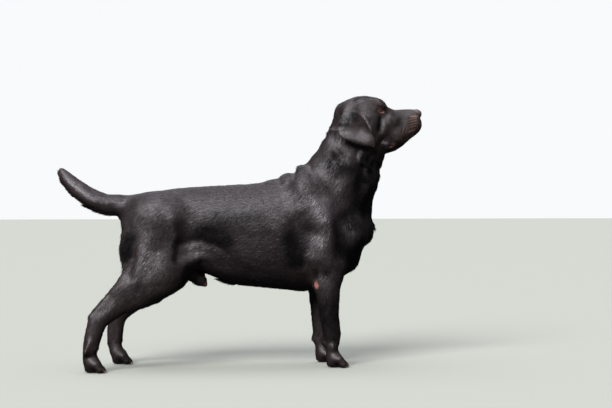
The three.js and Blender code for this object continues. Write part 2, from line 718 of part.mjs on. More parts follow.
// The region of a leg, half a gap smaller or larger than its outline.
function forelegRegion(s, by) {
  const outline = FORELEG_CUT.map(([y, z]) => [s * y, z]);
  return slab(offset(outline, by), FORELEG_SPAN[0] - by, FORELEG_SPAN[1] + by, "x");
}
function hindlegRegion(s, by) {
  const [inside, outside] = [HINDLEG_INSIDE - by, 300];
  return slab(offset(HINDLEG_CUT, by), s > 0 ? inside : -outside, s > 0 ? outside : -inside);
}
const tailRegion = (by) => box(-700, TAIL_CUT_X + by, -TAIL_WIDE - by, TAIL_WIDE + by, TAIL_UNDER - by, 700);
const HALF = GAP / 2;
const KEEP = 0.33; // share of a meshed region's vertices that is kept

async function sculpted(field, lo, hi, cell, keep = KEEP) {
  return solid(await thinned(meshField(field, [lo, hi], cell), keep));
}
const region = (lo, hi, cell, keep) => sculpted(flesh, lo, hi, cell, keep);

async function makeTorso() {
  let torso = await region([-400, -170, 180], [450, 170, 640], 17);
  torso = torso.intersect(beside(NECK_CUT, -1)).subtract(tailRegion(HALF));
  for (const s of Object.values(SIDES)) {
    torso = torso.subtract(forelegRegion(s, HALF)).subtract(hindlegRegion(s, HALF));
  }
  return torso;
}

async function makeNeck() {
  const neck = await region([150, -140, 400], [500, 140, 820], 13);
  return neck.intersect(beside(NECK_CUT, 1)).intersect(beside(HEAD_CUT, -1));
}

async function makeTail() {
  const tail = await region([-580, -60, 400], [-300, 60, 640], 11);
  return tail.intersect(tailRegion(-HALF));
}

async function makeLeg(s, [lo, hi], cell, legRegion) {
  const [inner, outer] = s > 0 ? [20, 180] : [-180, -20];
  return (await region([lo[0], inner, lo[1]], [hi[0], outer, hi[1]], cell)).intersect(legRegion(s, -HALF));
}

async function makePaw([px, py], size) {
  const lo = [px - size.length, py - size.width, -12];
  const hi = [px + size.length * 1.3, py + size.width, PAW_TOP + 16];
  return (await region(lo, hi, 6, 0.36)).intersect(FLOOR);
}

const belowPawTop = box(-2000, 2000, -2000, 2000, -100, PAW_TOP - HALF);
const abovePawTop = box(-2000, 2000, -2000, 2000, PAW_TOP + HALF, 2000);

// ---------------------------------------------------------------- the head's pieces

const orb = ([x, y, z], [rx, ry, rz], sides = 20, rings = 14) =>
  solid(new THREE.SphereGeometry(1, sides, rings).scale(rx, ry, rz).translate(x, y, z));

// An almond-shaped opening along the gaze, from the middle of the eye outwards.
function lidOpening(s) {
  const { width, height, tilt } = LIDS;
  const almond = new THREE.Shape();
  almond.moveTo(-width / 2, 0);
  almond.quadraticCurveTo(0, -height, width / 2, 0);
  almond.quadraticCurveTo(0, height, -width / 2, 0);
  const geometry = new THREE.ExtrudeGeometry(almond, { depth: 30, bevelEnabled: false, curveSegments: 6 });
  const gaze = new THREE.Vector3(...mirrored(EYE.gaze, s)).normalize();
  const across = new THREE.Vector3(0, 0, 1).cross(gaze).normalize();
  const up = gaze.clone().cross(across);
  geometry.rotateZ(THREE.MathUtils.degToRad(s * tilt));
  geometry.applyMatrix4(new THREE.Matrix4().makeBasis(across, up, gaze).setPosition(...mirrored(EYE.at, s)));
  return solid(geometry);
}

async function makeJaw() {
  const jaw = new Form().addChain(JAW, 4, 3).work({
    lipLine: { from: [559, 0, 731], to: [523, 0, 716], height: -1.5, width: 6 },
  });
  return sculpted(jaw.field(), [400, -60, 620], [580, 60, 760], 7);
}

async function makeNose() {
  const leather = new Form().add(ball(NOSE.at, NOSE.radii, 8), 4);
  leather.work({ groove: { from: [565, 0, 772], to: [563, 0, 748], height: -2.5, width: 3 } });
  let nose = await sculpted(leather.field(), [515, -32, 738], [577, 32, 790], 4);
  for (const s of Object.values(SIDES)) {
    nose = nose.subtract(orb(mirrored(NOSTRIL.at, s), NOSTRIL.radii, 8, 6));
    const slit = new THREE.SphereGeometry(1, 7, 5).scale(...NOSTRIL_SLIT.radii);
    slit.rotateZ(s * NOSTRIL_SLIT.turn).translate(...mirrored(NOSTRIL_SLIT.at, s));
    nose = nose.subtract(solid(slit));
  }
  return nose;
}

// A thick curved sheet: `mid(u, v)` gives its middle surface and `half(u, v)` half its thickness.
function sheet(mid, half, nu, nv) {
  const step = 1e-3;
  const points = [];
  for (const face of [1, -1])
    for (let i = 0; i <= nu; i++)
      for (let j = 0; j <= nv; j++) {
        const [u, v] = [i / nu, j / nv];
        const along = mid(Math.min(u + step, 1), v).sub(mid(Math.max(u - step, 0), v));
        const across = mid(u, Math.min(v + step, 1)).sub(mid(u, Math.max(v - step, 0)));
        const normal = along.cross(across).normalize();
        points.push(...mid(u, v).addScaledVector(normal, face * half(u, v)).toArray());
      }
  const faceSize = (nu + 1) * (nv + 1);
  const at = (face, i, j) => face * faceSize + i * (nv + 1) + j;
  const index = [];
  for (let i = 0; i < nu; i++)
    for (let j = 0; j < nv; j++) {
      const [a, b, c, d] = [at(0, i, j), at(0, i + 1, j), at(0, i + 1, j + 1), at(0, i, j + 1)];
      index.push(a, b, c, a, c, d);
      index.push(a + faceSize, c + faceSize, b + faceSize, a + faceSize, d + faceSize, c + faceSize);
    }
  const rim = [];
  for (let i = 0; i < nu; i++) rim.push([i, 0]);
  for (let j = 0; j < nv; j++) rim.push([nu, j]);
  for (let i = nu; i > 0; i--) rim.push([i, nv]);
  for (let j = nv; j > 0; j--) rim.push([0, j]);
  rim.forEach(([i, j], n) => {
    const [k, l] = rim[(n + 1) % rim.length];
    index.push(at(0, i, j), at(1, i, j), at(1, k, l), at(0, i, j), at(1, k, l), at(0, k, l));
  });
  return solid(surface(points, index));
}

function makeEar(s) {
  const edge = (name) => new THREE.CatmullRomCurve3(EAR_ROWS.map((row) => new THREE.Vector3(...row[name])));
  const [front, rear] = [edge("front"), edge("rear")];
  const cup = new THREE.SplineCurve(EAR_ROWS.map((row, i) => new THREE.Vector2(i, row.cup)));
  const mid = (u, v) => {
    const p = front.getPoint(u).lerp(rear.getPoint(u), v);
    p.y += cup.getPoint(u).y * Math.sin(Math.PI * v) ** 0.8;
    return p.setY(p.y * s);
  };
  const half = (u, v) => {
    const swell = Math.sin(Math.PI * mix(0.08, 0.92, v)) ** 0.5;
    return EAR_HALF_THICK * mix(EAR_RIM, 1, swell) * (1 - EAR_TAPER * u);
  };
  return sheet(mid, half, 10, 8);
}

// ---------------------------------------------------------------- claws

// A tapered, drooping horn along +X from its root at the origin, flattened below.
function makeClaw({ length: long, radius, droop, sides, rings }) {
  const profile = [new THREE.Vector2(0, 0)];
  for (let i = 0; i <= rings; i++) {
    const t = i / rings;
    profile.push(new THREE.Vector2(radius * (1 - CLAW_TAPER * t ** 1.4), long * t));
  }
  profile.push(new THREE.Vector2(0, long + 1));
  const geometry = new THREE.LatheGeometry(profile, sides).rotateZ(-Math.PI / 2);
  const p = geometry.attributes.position;
  for (let i = 0; i < p.count; i++) p.setZ(i, p.getZ(i) * CLAW_HEIGHT - droop * (p.getX(i) / long) ** 2);
  return geometry;
}

function clawOn({ knuckle, tip }) {
  const way = new THREE.Vector3(tip[0] - knuckle[0], tip[1] - knuckle[1], 0).setLength(CLAW_SET.forward);
  const geometry = makeClaw(CLAW).rotateY(CLAW_SET.tilt).rotateZ(Math.atan2(way.y, way.x));
  return solid(geometry.translate(tip[0] + way.x, tip[1] + way.y, tip[2] + CLAW_SET.up));
}

function dewclaw(side, s) {
  const wrist = jointsOf(FORELEG, STRIDE.fore[side], s)[4];
  const [forward, inward, height] = DEWCLAW.at;
  const geometry = makeClaw(DEWCLAW).rotateY(DEWCLAW.tilt);
  return solid(geometry.translate(wrist[0] + forward, wrist[1] + s * inward, height));
}

// ---------------------------------------------------------------- assembly

const material = (color, roughness) => new THREE.MeshStandardMaterial({ color, roughness, metalness: 0 });
const COAT = material(0x2e211d, 0.55);
const SKIN = material(0x3b2721, 0.6);
const NOSE_LEATHER = material(0x4a2f2a, 0.45);
const EYE_AMBER = material(0x5a3216, 0.1);
const CLAW_HORN = material(0x2a1f1a, 0.4);

const dog = new THREE.Group();

function node(name, manifold, look) {
  const mesh = new THREE.Mesh(geometryOf(manifold), look);
  mesh.name = name;
  dog.add(mesh);
}

const jaw = await makeJaw();
const nose = await makeNose();
let head = (await region([270, -90, 600], [590, 90, 850], 7)).intersect(beside(HEAD_CUT, 1));
head = head.subtract(grown(nose));
for (const [side, s] of Object.entries(SIDES)) {
  const lidRadius = EYE.radius + LIDS.thick;
  const eye = orb(mirrored(EYE.at, s), [EYE.radius, EYE.radius, EYE.radius], 14, 10);
  const lids = orb(mirrored(EYE.at, s), [lidRadius, lidRadius, lidRadius], 16, 12);
  head = head.add(lids).subtract(lidOpening(s)).subtract(grown(eye));
  node(`eye_${side}`, eye, EYE_AMBER);
}
const neck = await makeNeck();
const jawFitted = jaw.subtract(grown(neck));
head = head.subtract(grown(jawFitted));
node("head", head, COAT);
node("jaw", jawFitted, COAT);
node("nose", nose, NOSE_LEATHER);
node("neck", neck, COAT);
for (const [side, s] of Object.entries(SIDES)) {
  node(`ear_${side}`, makeEar(s).subtract(grown(head)).subtract(grown(neck)), COAT);
}

const torso = await makeTorso();
node("torso", torso, COAT);
node("tail", await makeTail(), COAT);

const sheathForm = new Form().addChain(SHEATH, 4, 2);
const sheath = await sculpted(sheathForm.field(), [-190, -40, 220], [-70, 40, 330], 7);
node("sheath", sheath.subtract(grown(torso)), SKIN);

for (const [side, s] of Object.entries(SIDES)) {
  const spots = pawSpots(side, s);
  const legs = {
    fore: await makeLeg(s, [[170, 20], [370, 330]], 12, forelegRegion),
    hind: await makeLeg(s, [[-600, 20], [-120, 500]], 13, hindlegRegion),
  };
  for (const [end, size] of [["fore", FORE_PAW], ["hind", HIND_PAW]]) {
    let pawSolid = (await makePaw(spots[end], size)).intersect(belowPawTop);
    toesOf(spots[end], size).forEach((toe, i) => {
      const claw = clawOn(toe);
      pawSolid = pawSolid.subtract(grown(claw));
      node(`claw_${end}_${side}_${i + 1}`, claw, CLAW_HORN);
    });
    node(`${end}paw_${side}`, pawSolid, COAT);
    let leg = legs[end].intersect(abovePawTop);
    if (end === "fore") {
      const claw = dewclaw(side, s);
      leg = leg.subtract(grown(claw));
      node(`dewclaw_${side}`, claw, CLAW_HORN);
    }
    node(`${end}leg_${side}`, leg, COAT);
  }
}
const hindlegs = dog.children.filter(({ name }) => name.startsWith("hindleg"));
const scrotum = orb(SCROTUM.at, SCROTUM.radii, 14, 10);
const between = hindlegs.reduce((rest, leg) => rest.subtract(grown(solid(leg.geometry))), scrotum);
node("scrotum", between.subtract(grown(torso)), SKIN);

// The origin is at the floor under the middle of the dog.
const middle = new THREE.Box3().setFromObject(dog).getCenter(new THREE.Vector3());
dog.position.set(-middle.x, -middle.y, 0);

export default dog;
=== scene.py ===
"""Looks of a life-size labrador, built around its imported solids.

One skin takes the place of the nodes of flesh, and a coat of solid tufts lies on it. The eyes, lids, nose,
whiskers and claws are pieces of their own. The frame is the solids' own: metres, +X towards the nose, +Y the
dog's left side, +Z up, the soles at Z = 0.
"""

import copy
import math
from types import SimpleNamespace

import bmesh
import bpy
import numpy as np
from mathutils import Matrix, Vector
from mathutils.bvhtree import BVHTree


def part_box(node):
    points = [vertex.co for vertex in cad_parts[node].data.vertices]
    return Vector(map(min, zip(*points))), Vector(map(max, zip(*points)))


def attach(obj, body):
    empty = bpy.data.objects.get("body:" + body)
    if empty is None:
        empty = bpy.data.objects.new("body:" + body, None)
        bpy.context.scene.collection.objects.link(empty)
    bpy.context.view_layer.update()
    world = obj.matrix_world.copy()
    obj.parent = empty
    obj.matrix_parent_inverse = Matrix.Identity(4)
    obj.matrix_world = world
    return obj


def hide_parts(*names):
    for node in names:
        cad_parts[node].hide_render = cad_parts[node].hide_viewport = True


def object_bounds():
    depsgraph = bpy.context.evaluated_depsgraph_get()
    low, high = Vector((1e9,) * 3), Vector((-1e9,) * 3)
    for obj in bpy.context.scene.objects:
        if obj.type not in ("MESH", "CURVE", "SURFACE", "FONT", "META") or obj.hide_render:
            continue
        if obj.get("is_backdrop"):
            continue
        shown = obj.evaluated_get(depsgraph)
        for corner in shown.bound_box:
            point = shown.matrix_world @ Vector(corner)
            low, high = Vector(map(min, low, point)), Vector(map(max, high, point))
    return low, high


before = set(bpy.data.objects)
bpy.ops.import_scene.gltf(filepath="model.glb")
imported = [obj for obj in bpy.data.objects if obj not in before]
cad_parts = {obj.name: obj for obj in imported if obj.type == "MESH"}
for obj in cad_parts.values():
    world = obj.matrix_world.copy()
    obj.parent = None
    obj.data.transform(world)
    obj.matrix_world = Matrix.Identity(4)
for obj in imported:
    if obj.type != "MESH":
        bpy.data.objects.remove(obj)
CAD_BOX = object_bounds()

# ---------------------------------------------------------------- driving values: studio

MM = 0.001
SIDES = {"right": -1, "left": 1}
SEED = 7

# The camera stands on the dog's right, and the dog is turned a little away from it. In metres and degrees.
CAMERA = {"over": (0.194, 0.0), "distance": 4.55, "height": 0.51, "turn": 8.5, "dip": 0.27, "lens": 88.2}
LIGHTS = {
    # name: where it shines from, how wide it is in degrees, power, colour
    "key": ((-1.5, -2.4, 2.1), 30, 5.2, (0.975, 0.95, 1.0)),
    "sky": ((-0.3, 0.3, 3.0), 60, 2.5, (0.88, 0.89, 1.0)),
}
# The camera sees a near-white backdrop. What the studio's walls and ceiling add to the light is dimmer.
STUDIO = {"backdrop": 0.97, "walls": 0.055, "ceiling": 0.45, "colour": (0.97, 0.985, 1.0, 1)}
FLOOR = {"reach": 30, "colour": (0.335, 0.350, 0.300, 1)}

# ---------------------------------------------------------------- driving values: the skin

# Groups of nodes that share a kind of coat and a fineness of form.
GROUPS = {
    "head": ["head", "jaw", "nose", "eye_right", "eye_left"],
    "ear": ["ear_right", "ear_left"],
    "neck": ["neck"],
    "torso": ["torso"],
    "tail": ["tail"],
    "sheath": ["sheath", "scrotum"],
    "foreleg": ["foreleg_right", "foreleg_left"],
    "hindleg": ["hindleg_right", "hindleg_left"],
    "paw": ["forepaw_right", "forepaw_left", "hindpaw_right", "hindpaw_left"],
}
HARD = ("nose", "eye_right", "eye_left")  # fused into the skin's shape, but replaced by pieces of their own
FLESH = [name for names in GROUPS.values() for name in names if name not in HARD]

VOXEL = 3.8 * MM
BRIDGE = 0.45 * MM  # nodes are grown by this before they are fused, to close the thin cuts between them
LOWEST = 0.0002  # how high over the floor the lowest points lie, in metres
# Rounds of blur that smooth the facets, the most that one round does, and the rounds that soften the
# borders between groups.
SMOOTH = {"rounds": 48, "most": 0.95, "borders": 40}
# How wide the facets of the solids are smoothed out in each group, in mm.
SMOOTH_WIDTH = {
    "head": 4.4, "ear": 4.0, "neck": 12, "torso": 12, "tail": 7, "sheath": 5, "foreleg": 7.5,
    "hindleg": 8.5, "paw": 3.0,
}
# How far the skin lies under the coat's surface in each group, in mm.
COAT_DEPTH = {
    "head": 0.7, "ear": 0.7, "neck": 2.2, "torso": 2.1, "tail": 2.6, "sheath": 0.6, "foreleg": 1.4,
    "hindleg": 1.5, "paw": 1.2,
}
# How much the muscles' forms are strengthened in each group, and the rounds of blur that tell them apart.
SWELL = {
    "head": 0, "ear": 0, "neck": 0.35, "torso": 0.8, "tail": 0, "sheath": 0, "foreleg": 0.25,
    "hindleg": 0.35, "paw": 0,
}
SWELL_ROUNDS = 80

# Lenses that enlarge the head and the paws while they are remeshed: a point on the plane where a lens
# begins, the way that it looks, how much it enlarges and over what depth it takes hold. In metres.
HEAD_LENS = {"centre": (0.300, 0, 0.620), "way": (0.656, 0, 0.755), "gain": 2.8, "ramp": 0.070}
PAW_LENS = {"height": 0.060, "gain": 1.9, "ramp": 0.025}

# Where steps between the solids are smoothed away: middle (x, distance from the middle plane, z) and
# radii in mm, and over how many rounds of blur.
CALMED = {
    "neck_front": ((420, 0, 514), (46, 76, 60), 220),
    "tail_tip": ((-540, 0, 590), (30, 30, 34), 14),
    "nape": ((240, 0, 674), (46, 64, 46), 70),
    "neck_side": ((304, 82, 606), (50, 44, 52), 70),
}
CALM = {"fade": 1.6, "strength": 0.9}
# The pasterns, above each paw: where along it and how far below its top, the radii that are calmed, and
# how far a middle of this shape and reach is swelled first. In mm.
ANKLE = {
    "along": 0.32, "down": 2, "radii": (56, 44, 34), "rounds": 110, "swell": 8.0, "shape": (1.2, 1.0, 0.4),
    "reach": 36,
}
# The lower half of an ear stands off, in mm: between which heights and how far outwards, over what height
# that grows, how far from the middle plane it begins, and how close to the ear's solid a point has to be.
EAR_FLARE = {"below": 722, "above": 600, "out": 18, "over": 62, "inner": 40, "gap": 6, "gap_over": 3}

# The mouth, in mm: how far its corner lies from the jaw's rear end, in from its side and up, over what
# length it opens, how far around the jaw it is looked for, how near its line the faces are fine, the
# groove's depth and width, and the height, place and width of the rim above it.
MOUTH = {
    "corner": 26, "inset": 4, "height": 660, "opens": 10, "margin": 12, "reach": 9,
    "depth": 2.6, "width": 1.6, "rim": 0.9, "rim_at": 3.2, "rim_width": 2.2,
}
# How close to an eye the faces are cut once and twice, and how the cut faces are blurred, in mm.
FINE = {"once": 24, "twice": 19, "blurred": 26, "past_mouth": 3, "rounds": 6, "strength": 0.6}

# ---------------------------------------------------------------- driving values: eyes, nose and whiskers

# An eye looks along its gaze. Its opening is an almond, tilted so that its inner corner lies low: how
# wide it is and how high its halves are in mm, how round their arches are, and how far their tops lean.
EYE = {
    "gaze": (0.66, 0.74, 0.12), "tilt": 12, "width": 20.5, "upper": 6.2, "lower": 6.2,
    "upper_arch": 0.75, "lower_arch": 0.85, "lean": 0.22, "past_corner": 1.2,
}
# The lids, in mm: how thick they lie on the ball, how far round the opening they cling to it, which skin
# counts, and how deep the skin lies under the ball inside the opening, from where and how soon.
LIDS = {"thick": 1.5, "cling": 5.5, "near": 16, "under": 1.6, "edge": 0.25, "soon": 0.7}
# The ball: how far the cornea bulges and the ball is inset, in mm, how far from the gaze the cornea, the
# pupil and the iris reach, in degrees, and its rings, which crowd together towards the pupil.
EYEBALL = {
    "bulge": 0.9, "inset": 0.35, "cornea": 46, "pupil": 15, "iris": 45, "rings": 44, "sectors": 56,
    "crowd": 1.35,
}
# The lids' moist edges, the haw and the bead of flesh in the inner corner, in mm over the ball. The haw
# begins and ends at shares of half the opening's width.
RIM = {"over": 0.75, "radius": 0.85, "steps": 72, "sides": 8}
HAW = {"edge": 0.40, "curve": 0.2, "end": 0.99, "over": 0.35, "under": 1.2, "rows": 13, "columns": 7}
BEAD = {"before_corner": 1.0, "up": -0.3, "over": 0.2, "radius": 1.5}
# Where pink begins on the lower lid and over what width, inwards and downwards, in mm.
PINK_RIM = (9, 8, 2.5)
PINK_AROUND = (6, 9, 3)
# Bare skin around the eye: from how far outside the opening, over what width, how near and how pink.
BARE_LID = {"from": 3.4, "over": 1.8, "near": 30, "pink": 0.9}

# The nose leather's mesh, how much of its form the blur keeps, which skin counts as near it, and how deep
# the skin is sunk where it touches. In mm.
NOSE = {"voxel": 0.75, "grow": 0.25, "rounds": 7, "kept": 0.8, "near": 40, "touch": 1.3, "sunk": 2.2}

# Whiskers, in mm, on the pad and elsewhere: how long they are and by which shares of that, how deep they
# are rooted, and how they point out, back and down. The spots are where the ones off the pad grow.
WHISKERS = {
    "pad": 34, "short": 22, "lengths": (0.6, 1.1), "radius": 0.28, "rooted": 0.6, "below_row": 3, "out": 1.1,
    "back": (-0.7, 0.1, -0.3), "unruly": 0.12, "droop": (-0.3, 0, -0.35),
    "spots": [
        (406, 40, 797), (411, 40, 798), (402, 41, 796), (396, 62, 716), (399, 62, 709), (516, 14, 700),
        (506, 16, 696),
    ],
}
# Lashes, in mm: between which shares of half the opening, how far up and out they are rooted over the lid's
# edge, and how much they point along the gaze, up and inwards.
LASHES = {
    "count": 13, "from": -0.85, "to": 0.6, "root": (0.4, 0.9), "length": 4.5, "lengths": (0.7, 1.1),
    "radius": 0.13, "way": (0.8, 0.35, -0.3), "unruly": 0.08, "droop": 0.35,
}
TAPER = 0.85  # how much of its radius a whisker or a lash loses towards its tip

# ---------------------------------------------------------------- driving values: strokes on the skin

# A stroke is a path laid on the skin: through how many points, how many of its widths it reaches, and the
# share of it over which each of its ends fades.
STROKE = {"points": 24, "reach": 2.6, "fade": 0.3}

# Paths that more than one table uses.
SKULL_CREASE = [(322, 46, 785), (340, 37, 797), (358, 32, 802), (386, 30, 804), (408, 34, 791)]
PAD_ROWS = [
    [(530, 26, 752), (515, 31, 751), (499, 34, 748)],
    [(537, 26, 746), (520, 32, 744), (500, 36, 740)],
    [(538, 28, 739), (520, 34, 736), (500, 38, 731)],
    [(537, 29, 732), (520, 35, 728), (502, 39, 722)],
    [(532, 30, 724), (517, 35, 720), (502, 39, 714)],
]


def pad_rows(strengths, widths):
    """The rows of the whisker pad as strokes of a table."""
    rows = enumerate(zip(PAD_ROWS, strengths, widths), 1)
    return {f"whisker_row_{number}": stroke for number, stroke in rows}


# Fine forms of the skin, on both sides of the dog: points along each, on or near the skin, in mm, its
# height (below zero for a crease) and its width.
MARKS = {
    "brow": ([(398, 30, 797), (412, 38, 793), (424, 42, 783), (431, 41, 773)], 1.6, 5.0),
    "brow_hollow": ([(388, 44, 788), (402, 47, 784), (416, 49, 779)], -1.2, 3.5),
    "skull_crease": (SKULL_CREASE, -4.0, 5.5),
    "lip_roll": ([(444, 42, 668), (460, 39, 661), (478, 36, 662)], 1.6, 2.6),
    "brow_line": ([(410, 26, 803), (424, 30, 795), (436, 31, 784), (446, 30, 779)], 1.0, 3.2),
    "temple_line": ([(330, 34, 800), (356, 40, 800), (384, 42, 796), (402, 36, 797)], 1.0, 6.0),
    "below_eye": ([(417, 48, 757), (415, 53, 742), (413, 57, 726), (412, 60, 710)], -3.2, 7.5),
    "before_eye": ([(426, 40, 766), (440, 36, 758), (452, 36, 744), (458, 38, 726)], -1.2, 4.0),
    "cheek": ([(398, 56, 742), (384, 62, 722), (380, 66, 700), (388, 66, 676)], 1.2, 8.0),
    "bridge_edge": ([(444, 24, 778), (470, 22, 778), (500, 21, 778), (524, 20, 779)], 0.8, 3.5),
    "beside_bridge": ([(452, 30, 768), (478, 30, 766), (506, 28, 766)], -0.8, 4.0),
    "flew_fold": ([(448, 47, 694), (454, 47, 678), (462, 43, 664)], -1.4, 3.0),
    "mouth_pouch": ([(462, 44, 690), (476, 41, 682), (490, 38, 678)], 1.0, 5.0),
    "ear_rim": ([(352, 60, 768), (374, 68, 732), (390, 71, 696), (394, 70, 672)], 0.8, 3.0),
    "upper_lid_fold": ([(398, 49, 776), (408, 50, 781), (418, 46, 781), (425, 40, 776)], -0.7, 1.3),
    "lower_lid_fold": ([(402, 52, 760), (412, 52, 757), (422, 46, 757)], -0.5, 1.3),
    **pad_rows((-0.45, -0.5, -0.55, -0.5, -0.45), [1.0] * 5),
    "flew_wrinkle_1": ([(498, 39, 722), (494, 40, 712), (492, 40, 702)], -0.5, 1.6),
    "flew_wrinkle_2": ([(489, 41, 722), (485, 42, 711), (484, 42, 700)], -0.45, 1.6),
    "neck_fold_1": ([(352, 62, 640), (372, 50, 612), (392, 30, 592), (398, 8, 586)], -1.0, 9.0),
    "neck_ridge": ([(334, 70, 660), (318, 80, 604), (300, 86, 552), (288, 94, 502)], 2.4, 20.0),
    "neck_groove": ([(368, 58, 640), (356, 62, 590), (348, 64, 540), (344, 62, 490)], -3.0, 16.0),
    "withers_fold": ([(212, 4, 606), (206, 44, 582), (206, 76, 548)], -2.0, 9.0),
    "withers_roll": ([(186, 0, 602), (180, 36, 590), (176, 70, 560)], 3.2, 11.0),
    "withers_fold_2": ([(158, 0, 590), (152, 40, 576), (150, 70, 552)], -2.5, 7.0),
    "back_roll": ([(126, 0, 584), (122, 40, 572), (120, 72, 548)], 5.5, 11.0),
    "shoulder_edge": (
        [(232, 112, 524), (252, 118, 486), (264, 116, 444), (264, 114, 404), (250, 114, 366)], 4.0, 15.0,
    ),
    "shoulder_swell": ([(200, 98, 524), (216, 114, 484), (226, 122, 440), (224, 124, 396)], 2.6, 18.0),
    "triceps": ([(226, 122, 384), (216, 120, 340), (210, 112, 298)], 2.4, 13.0),
    "arm_line": ([(184, 116, 366), (178, 112, 320), (182, 104, 274)], -3.0, 9.0),
    "behind_shoulder": ([(160, 122, 480), (158, 134, 424), (164, 132, 370), (178, 118, 312)], -5.0, 20.0),
    "flank_fold": (
        [
            (-204, 112, 356), (-180, 114, 374), (-144, 118, 376), (-104, 120, 362), (-64, 116, 336),
            (-34, 108, 304),
        ],
        -5.0, 13.0,
    ),
    "flank_web": ([(-200, 104, 306), (-160, 106, 322), (-118, 104, 316), (-82, 96, 294)], 5.0, 16.0),
    "thigh_front": ([(-214, 110, 480), (-200, 122, 440), (-190, 126, 400), (-196, 124, 352)], 3.0, 12.0),
    "hip": ([(-222, 82, 520), (-260, 88, 508), (-300, 84, 490)], 2.5, 16.0),
    "thigh_line": ([(-330, 124, 430), (-338, 128, 380), (-346, 124, 325), (-372, 118, 276)], -3.0, 11.0),
    "elbow_fold": ([(190, 92, 268), (208, 110, 280), (238, 116, 280), (266, 108, 272)], -0.8, 9.0),
}

# Shade painted into the coat's colour where a stroke is below zero, darker in folds, hollows and under the
# body, and a painted sheen where it is above zero, paler and smoother where the coat would catch the light:
# points along a stroke, on both sides of the dog, in mm, how much and how wide.
DARKEST, PAINTED_SHEEN_MOST = -1, 1.6
SHADES = {
    "neck_furrow": ([(392, 40, 650), (366, 50, 590), (366, 52, 508), (360, 50, 445)], -1.9, 24.0),
    "behind_elbow": ([(107, 125, 400), (146, 125, 377), (155, 120, 323), (166, 110, 280)], -1.2, 22.0),
    "flank": ([(-176, 120, 400), (-130, 124, 405), (-70, 125, 386), (-24, 122, 355)], -1.2, 19.0),
    "thigh_rear": ([(-351, 112, 430), (-353, 115, 380), (-352, 115, 320)], -1.4, 18.0),
    "before_shoulder": ([(286, 95, 438), (290, 95, 400), (292, 92, 360), (315, 80, 330)], -1.2, 22.0),
    "brisket": ([(344, 56, 400), (338, 60, 360), (300, 60, 310)], -0.9, 24.0),
    "inner_elbow": ([(204, 108, 300), (206, 108, 284), (206, 106, 270)], -1.0, 8.0),
    "foreleg": ([(246, 100, 236), (244, 98, 170), (248, 90, 100), (250, 84, 60)], -0.95, 32.0),
    "stifle_fold": ([(-190, 122, 390), (-198, 122, 350), (-208, 116, 312)], -1.0, 8.0),
    "below_eye": ([(414, 51, 756), (412, 56, 742), (410, 59, 725), (408, 61, 706)], -1.7, 10.5),
    "before_hollow": ([(440, 38, 764), (438, 44, 746), (437, 48, 724)], 1.0, 6.0),
    "skull_crease": (SKULL_CREASE, -1.5, 7.5),
    "brow_line": ([(386, 18, 811), (404, 22, 805), (418, 25, 797), (434, 26, 784)], 1.0, 4.0),
    "ear_rim": ([(350, 60, 770), (372, 67, 736), (390, 71, 698), (396, 70, 672)], 1.3, 3.0),
    "ear_rear": ([(304, 60, 760), (298, 68, 740), (292, 70, 712)], -1.0, 20.0),
    **pad_rows((-1.1, -1.1, -1.2, -1.2, -1.1), (1.7, 1.7, 1.8, 1.8, 1.8)),
    "pad_end_1": ([(496, 38, 726), (491, 40, 714), (488, 40, 703)], -1.1, 1.9),
    "pad_end_2": ([(487, 40, 724), (482, 42, 712), (480, 42, 702)], -1.0, 1.9),
    "pad": ([(498, 37, 736), (514, 35, 735), (528, 31, 735)], -0.4, 15.0),
    "tail": ([(-410, 18, 494), (-456, 17, 512), (-500, 13, 546), (-532, 7, 582)], 0.8, 13.0),
    "shank": ([(-300, 118, 280), (-350, 116, 240), (-400, 110, 190)], -0.3, 24.0),
    "muzzle": ([(446, 38, 760), (470, 36, 760), (500, 34, 752)], -0.6, 12.0),
    "muzzle_side": ([(450, 42, 738), (476, 40, 732), (492, 39, 726)], -0.5, 16.0),
    "cheek": ([(384, 58, 756), (378, 62, 730), (384, 64, 700), (400, 60, 684)], -0.45, 15.0),
    "shoulder": ([(222, 100, 540), (230, 112, 500), (238, 118, 455), (244, 122, 405)], 1.3, 37.0),
    "upper_arm": ([(212, 122, 420), (204, 122, 385), (206, 120, 345), (212, 118, 306)], 0.75, 24.0),
    "point_of_shoulder": ([(312, 84, 480), (324, 84, 444), (322, 84, 404)], -1.0, 22.0),
    "neck": ([(217, 75, 625), (240, 75, 632), (280, 75, 610), (270, 84, 560)], -0.7, 32.0),
    "hip": ([(-300, 92, 500), (-248, 92, 506), (-206, 104, 480), (-194, 124, 424)], 0.7, 30.0),
    "flank_web": ([(-200, 112, 344), (-160, 110, 348), (-120, 108, 338), (-83, 98, 314)], 0.55, 17.0),
    "ribs": ([(-130, 120, 470), (-70, 130, 450), (22, 132, 450), (100, 128, 460)], -0.34, 44.0),
    "thigh": ([(-306, 125, 410), (-283, 128, 330), (-320, 118, 262)], 0.3, 36.0),
    "ear": ([(332, 74, 706), (348, 76, 694), (362, 76, 684), (376, 74, 672)], 1.9, 16.0),
    "ear_top": ([(338, 60, 768), (328, 68, 750), (318, 72, 732)], -0.85, 17.0),
    "jaw": ([(418, 52, 680), (430, 48, 673), (448, 42, 668)], 1.6, 9.0),
    "skull_top": ([(316, 28, 798), (342, 20, 811), (374, 16, 815), (400, 14, 808)], 1.0, 10.0),
    "foreleg_top": ([(220, 112, 294), (240, 112, 286), (260, 108, 278)], -0.8, 16.0),
}
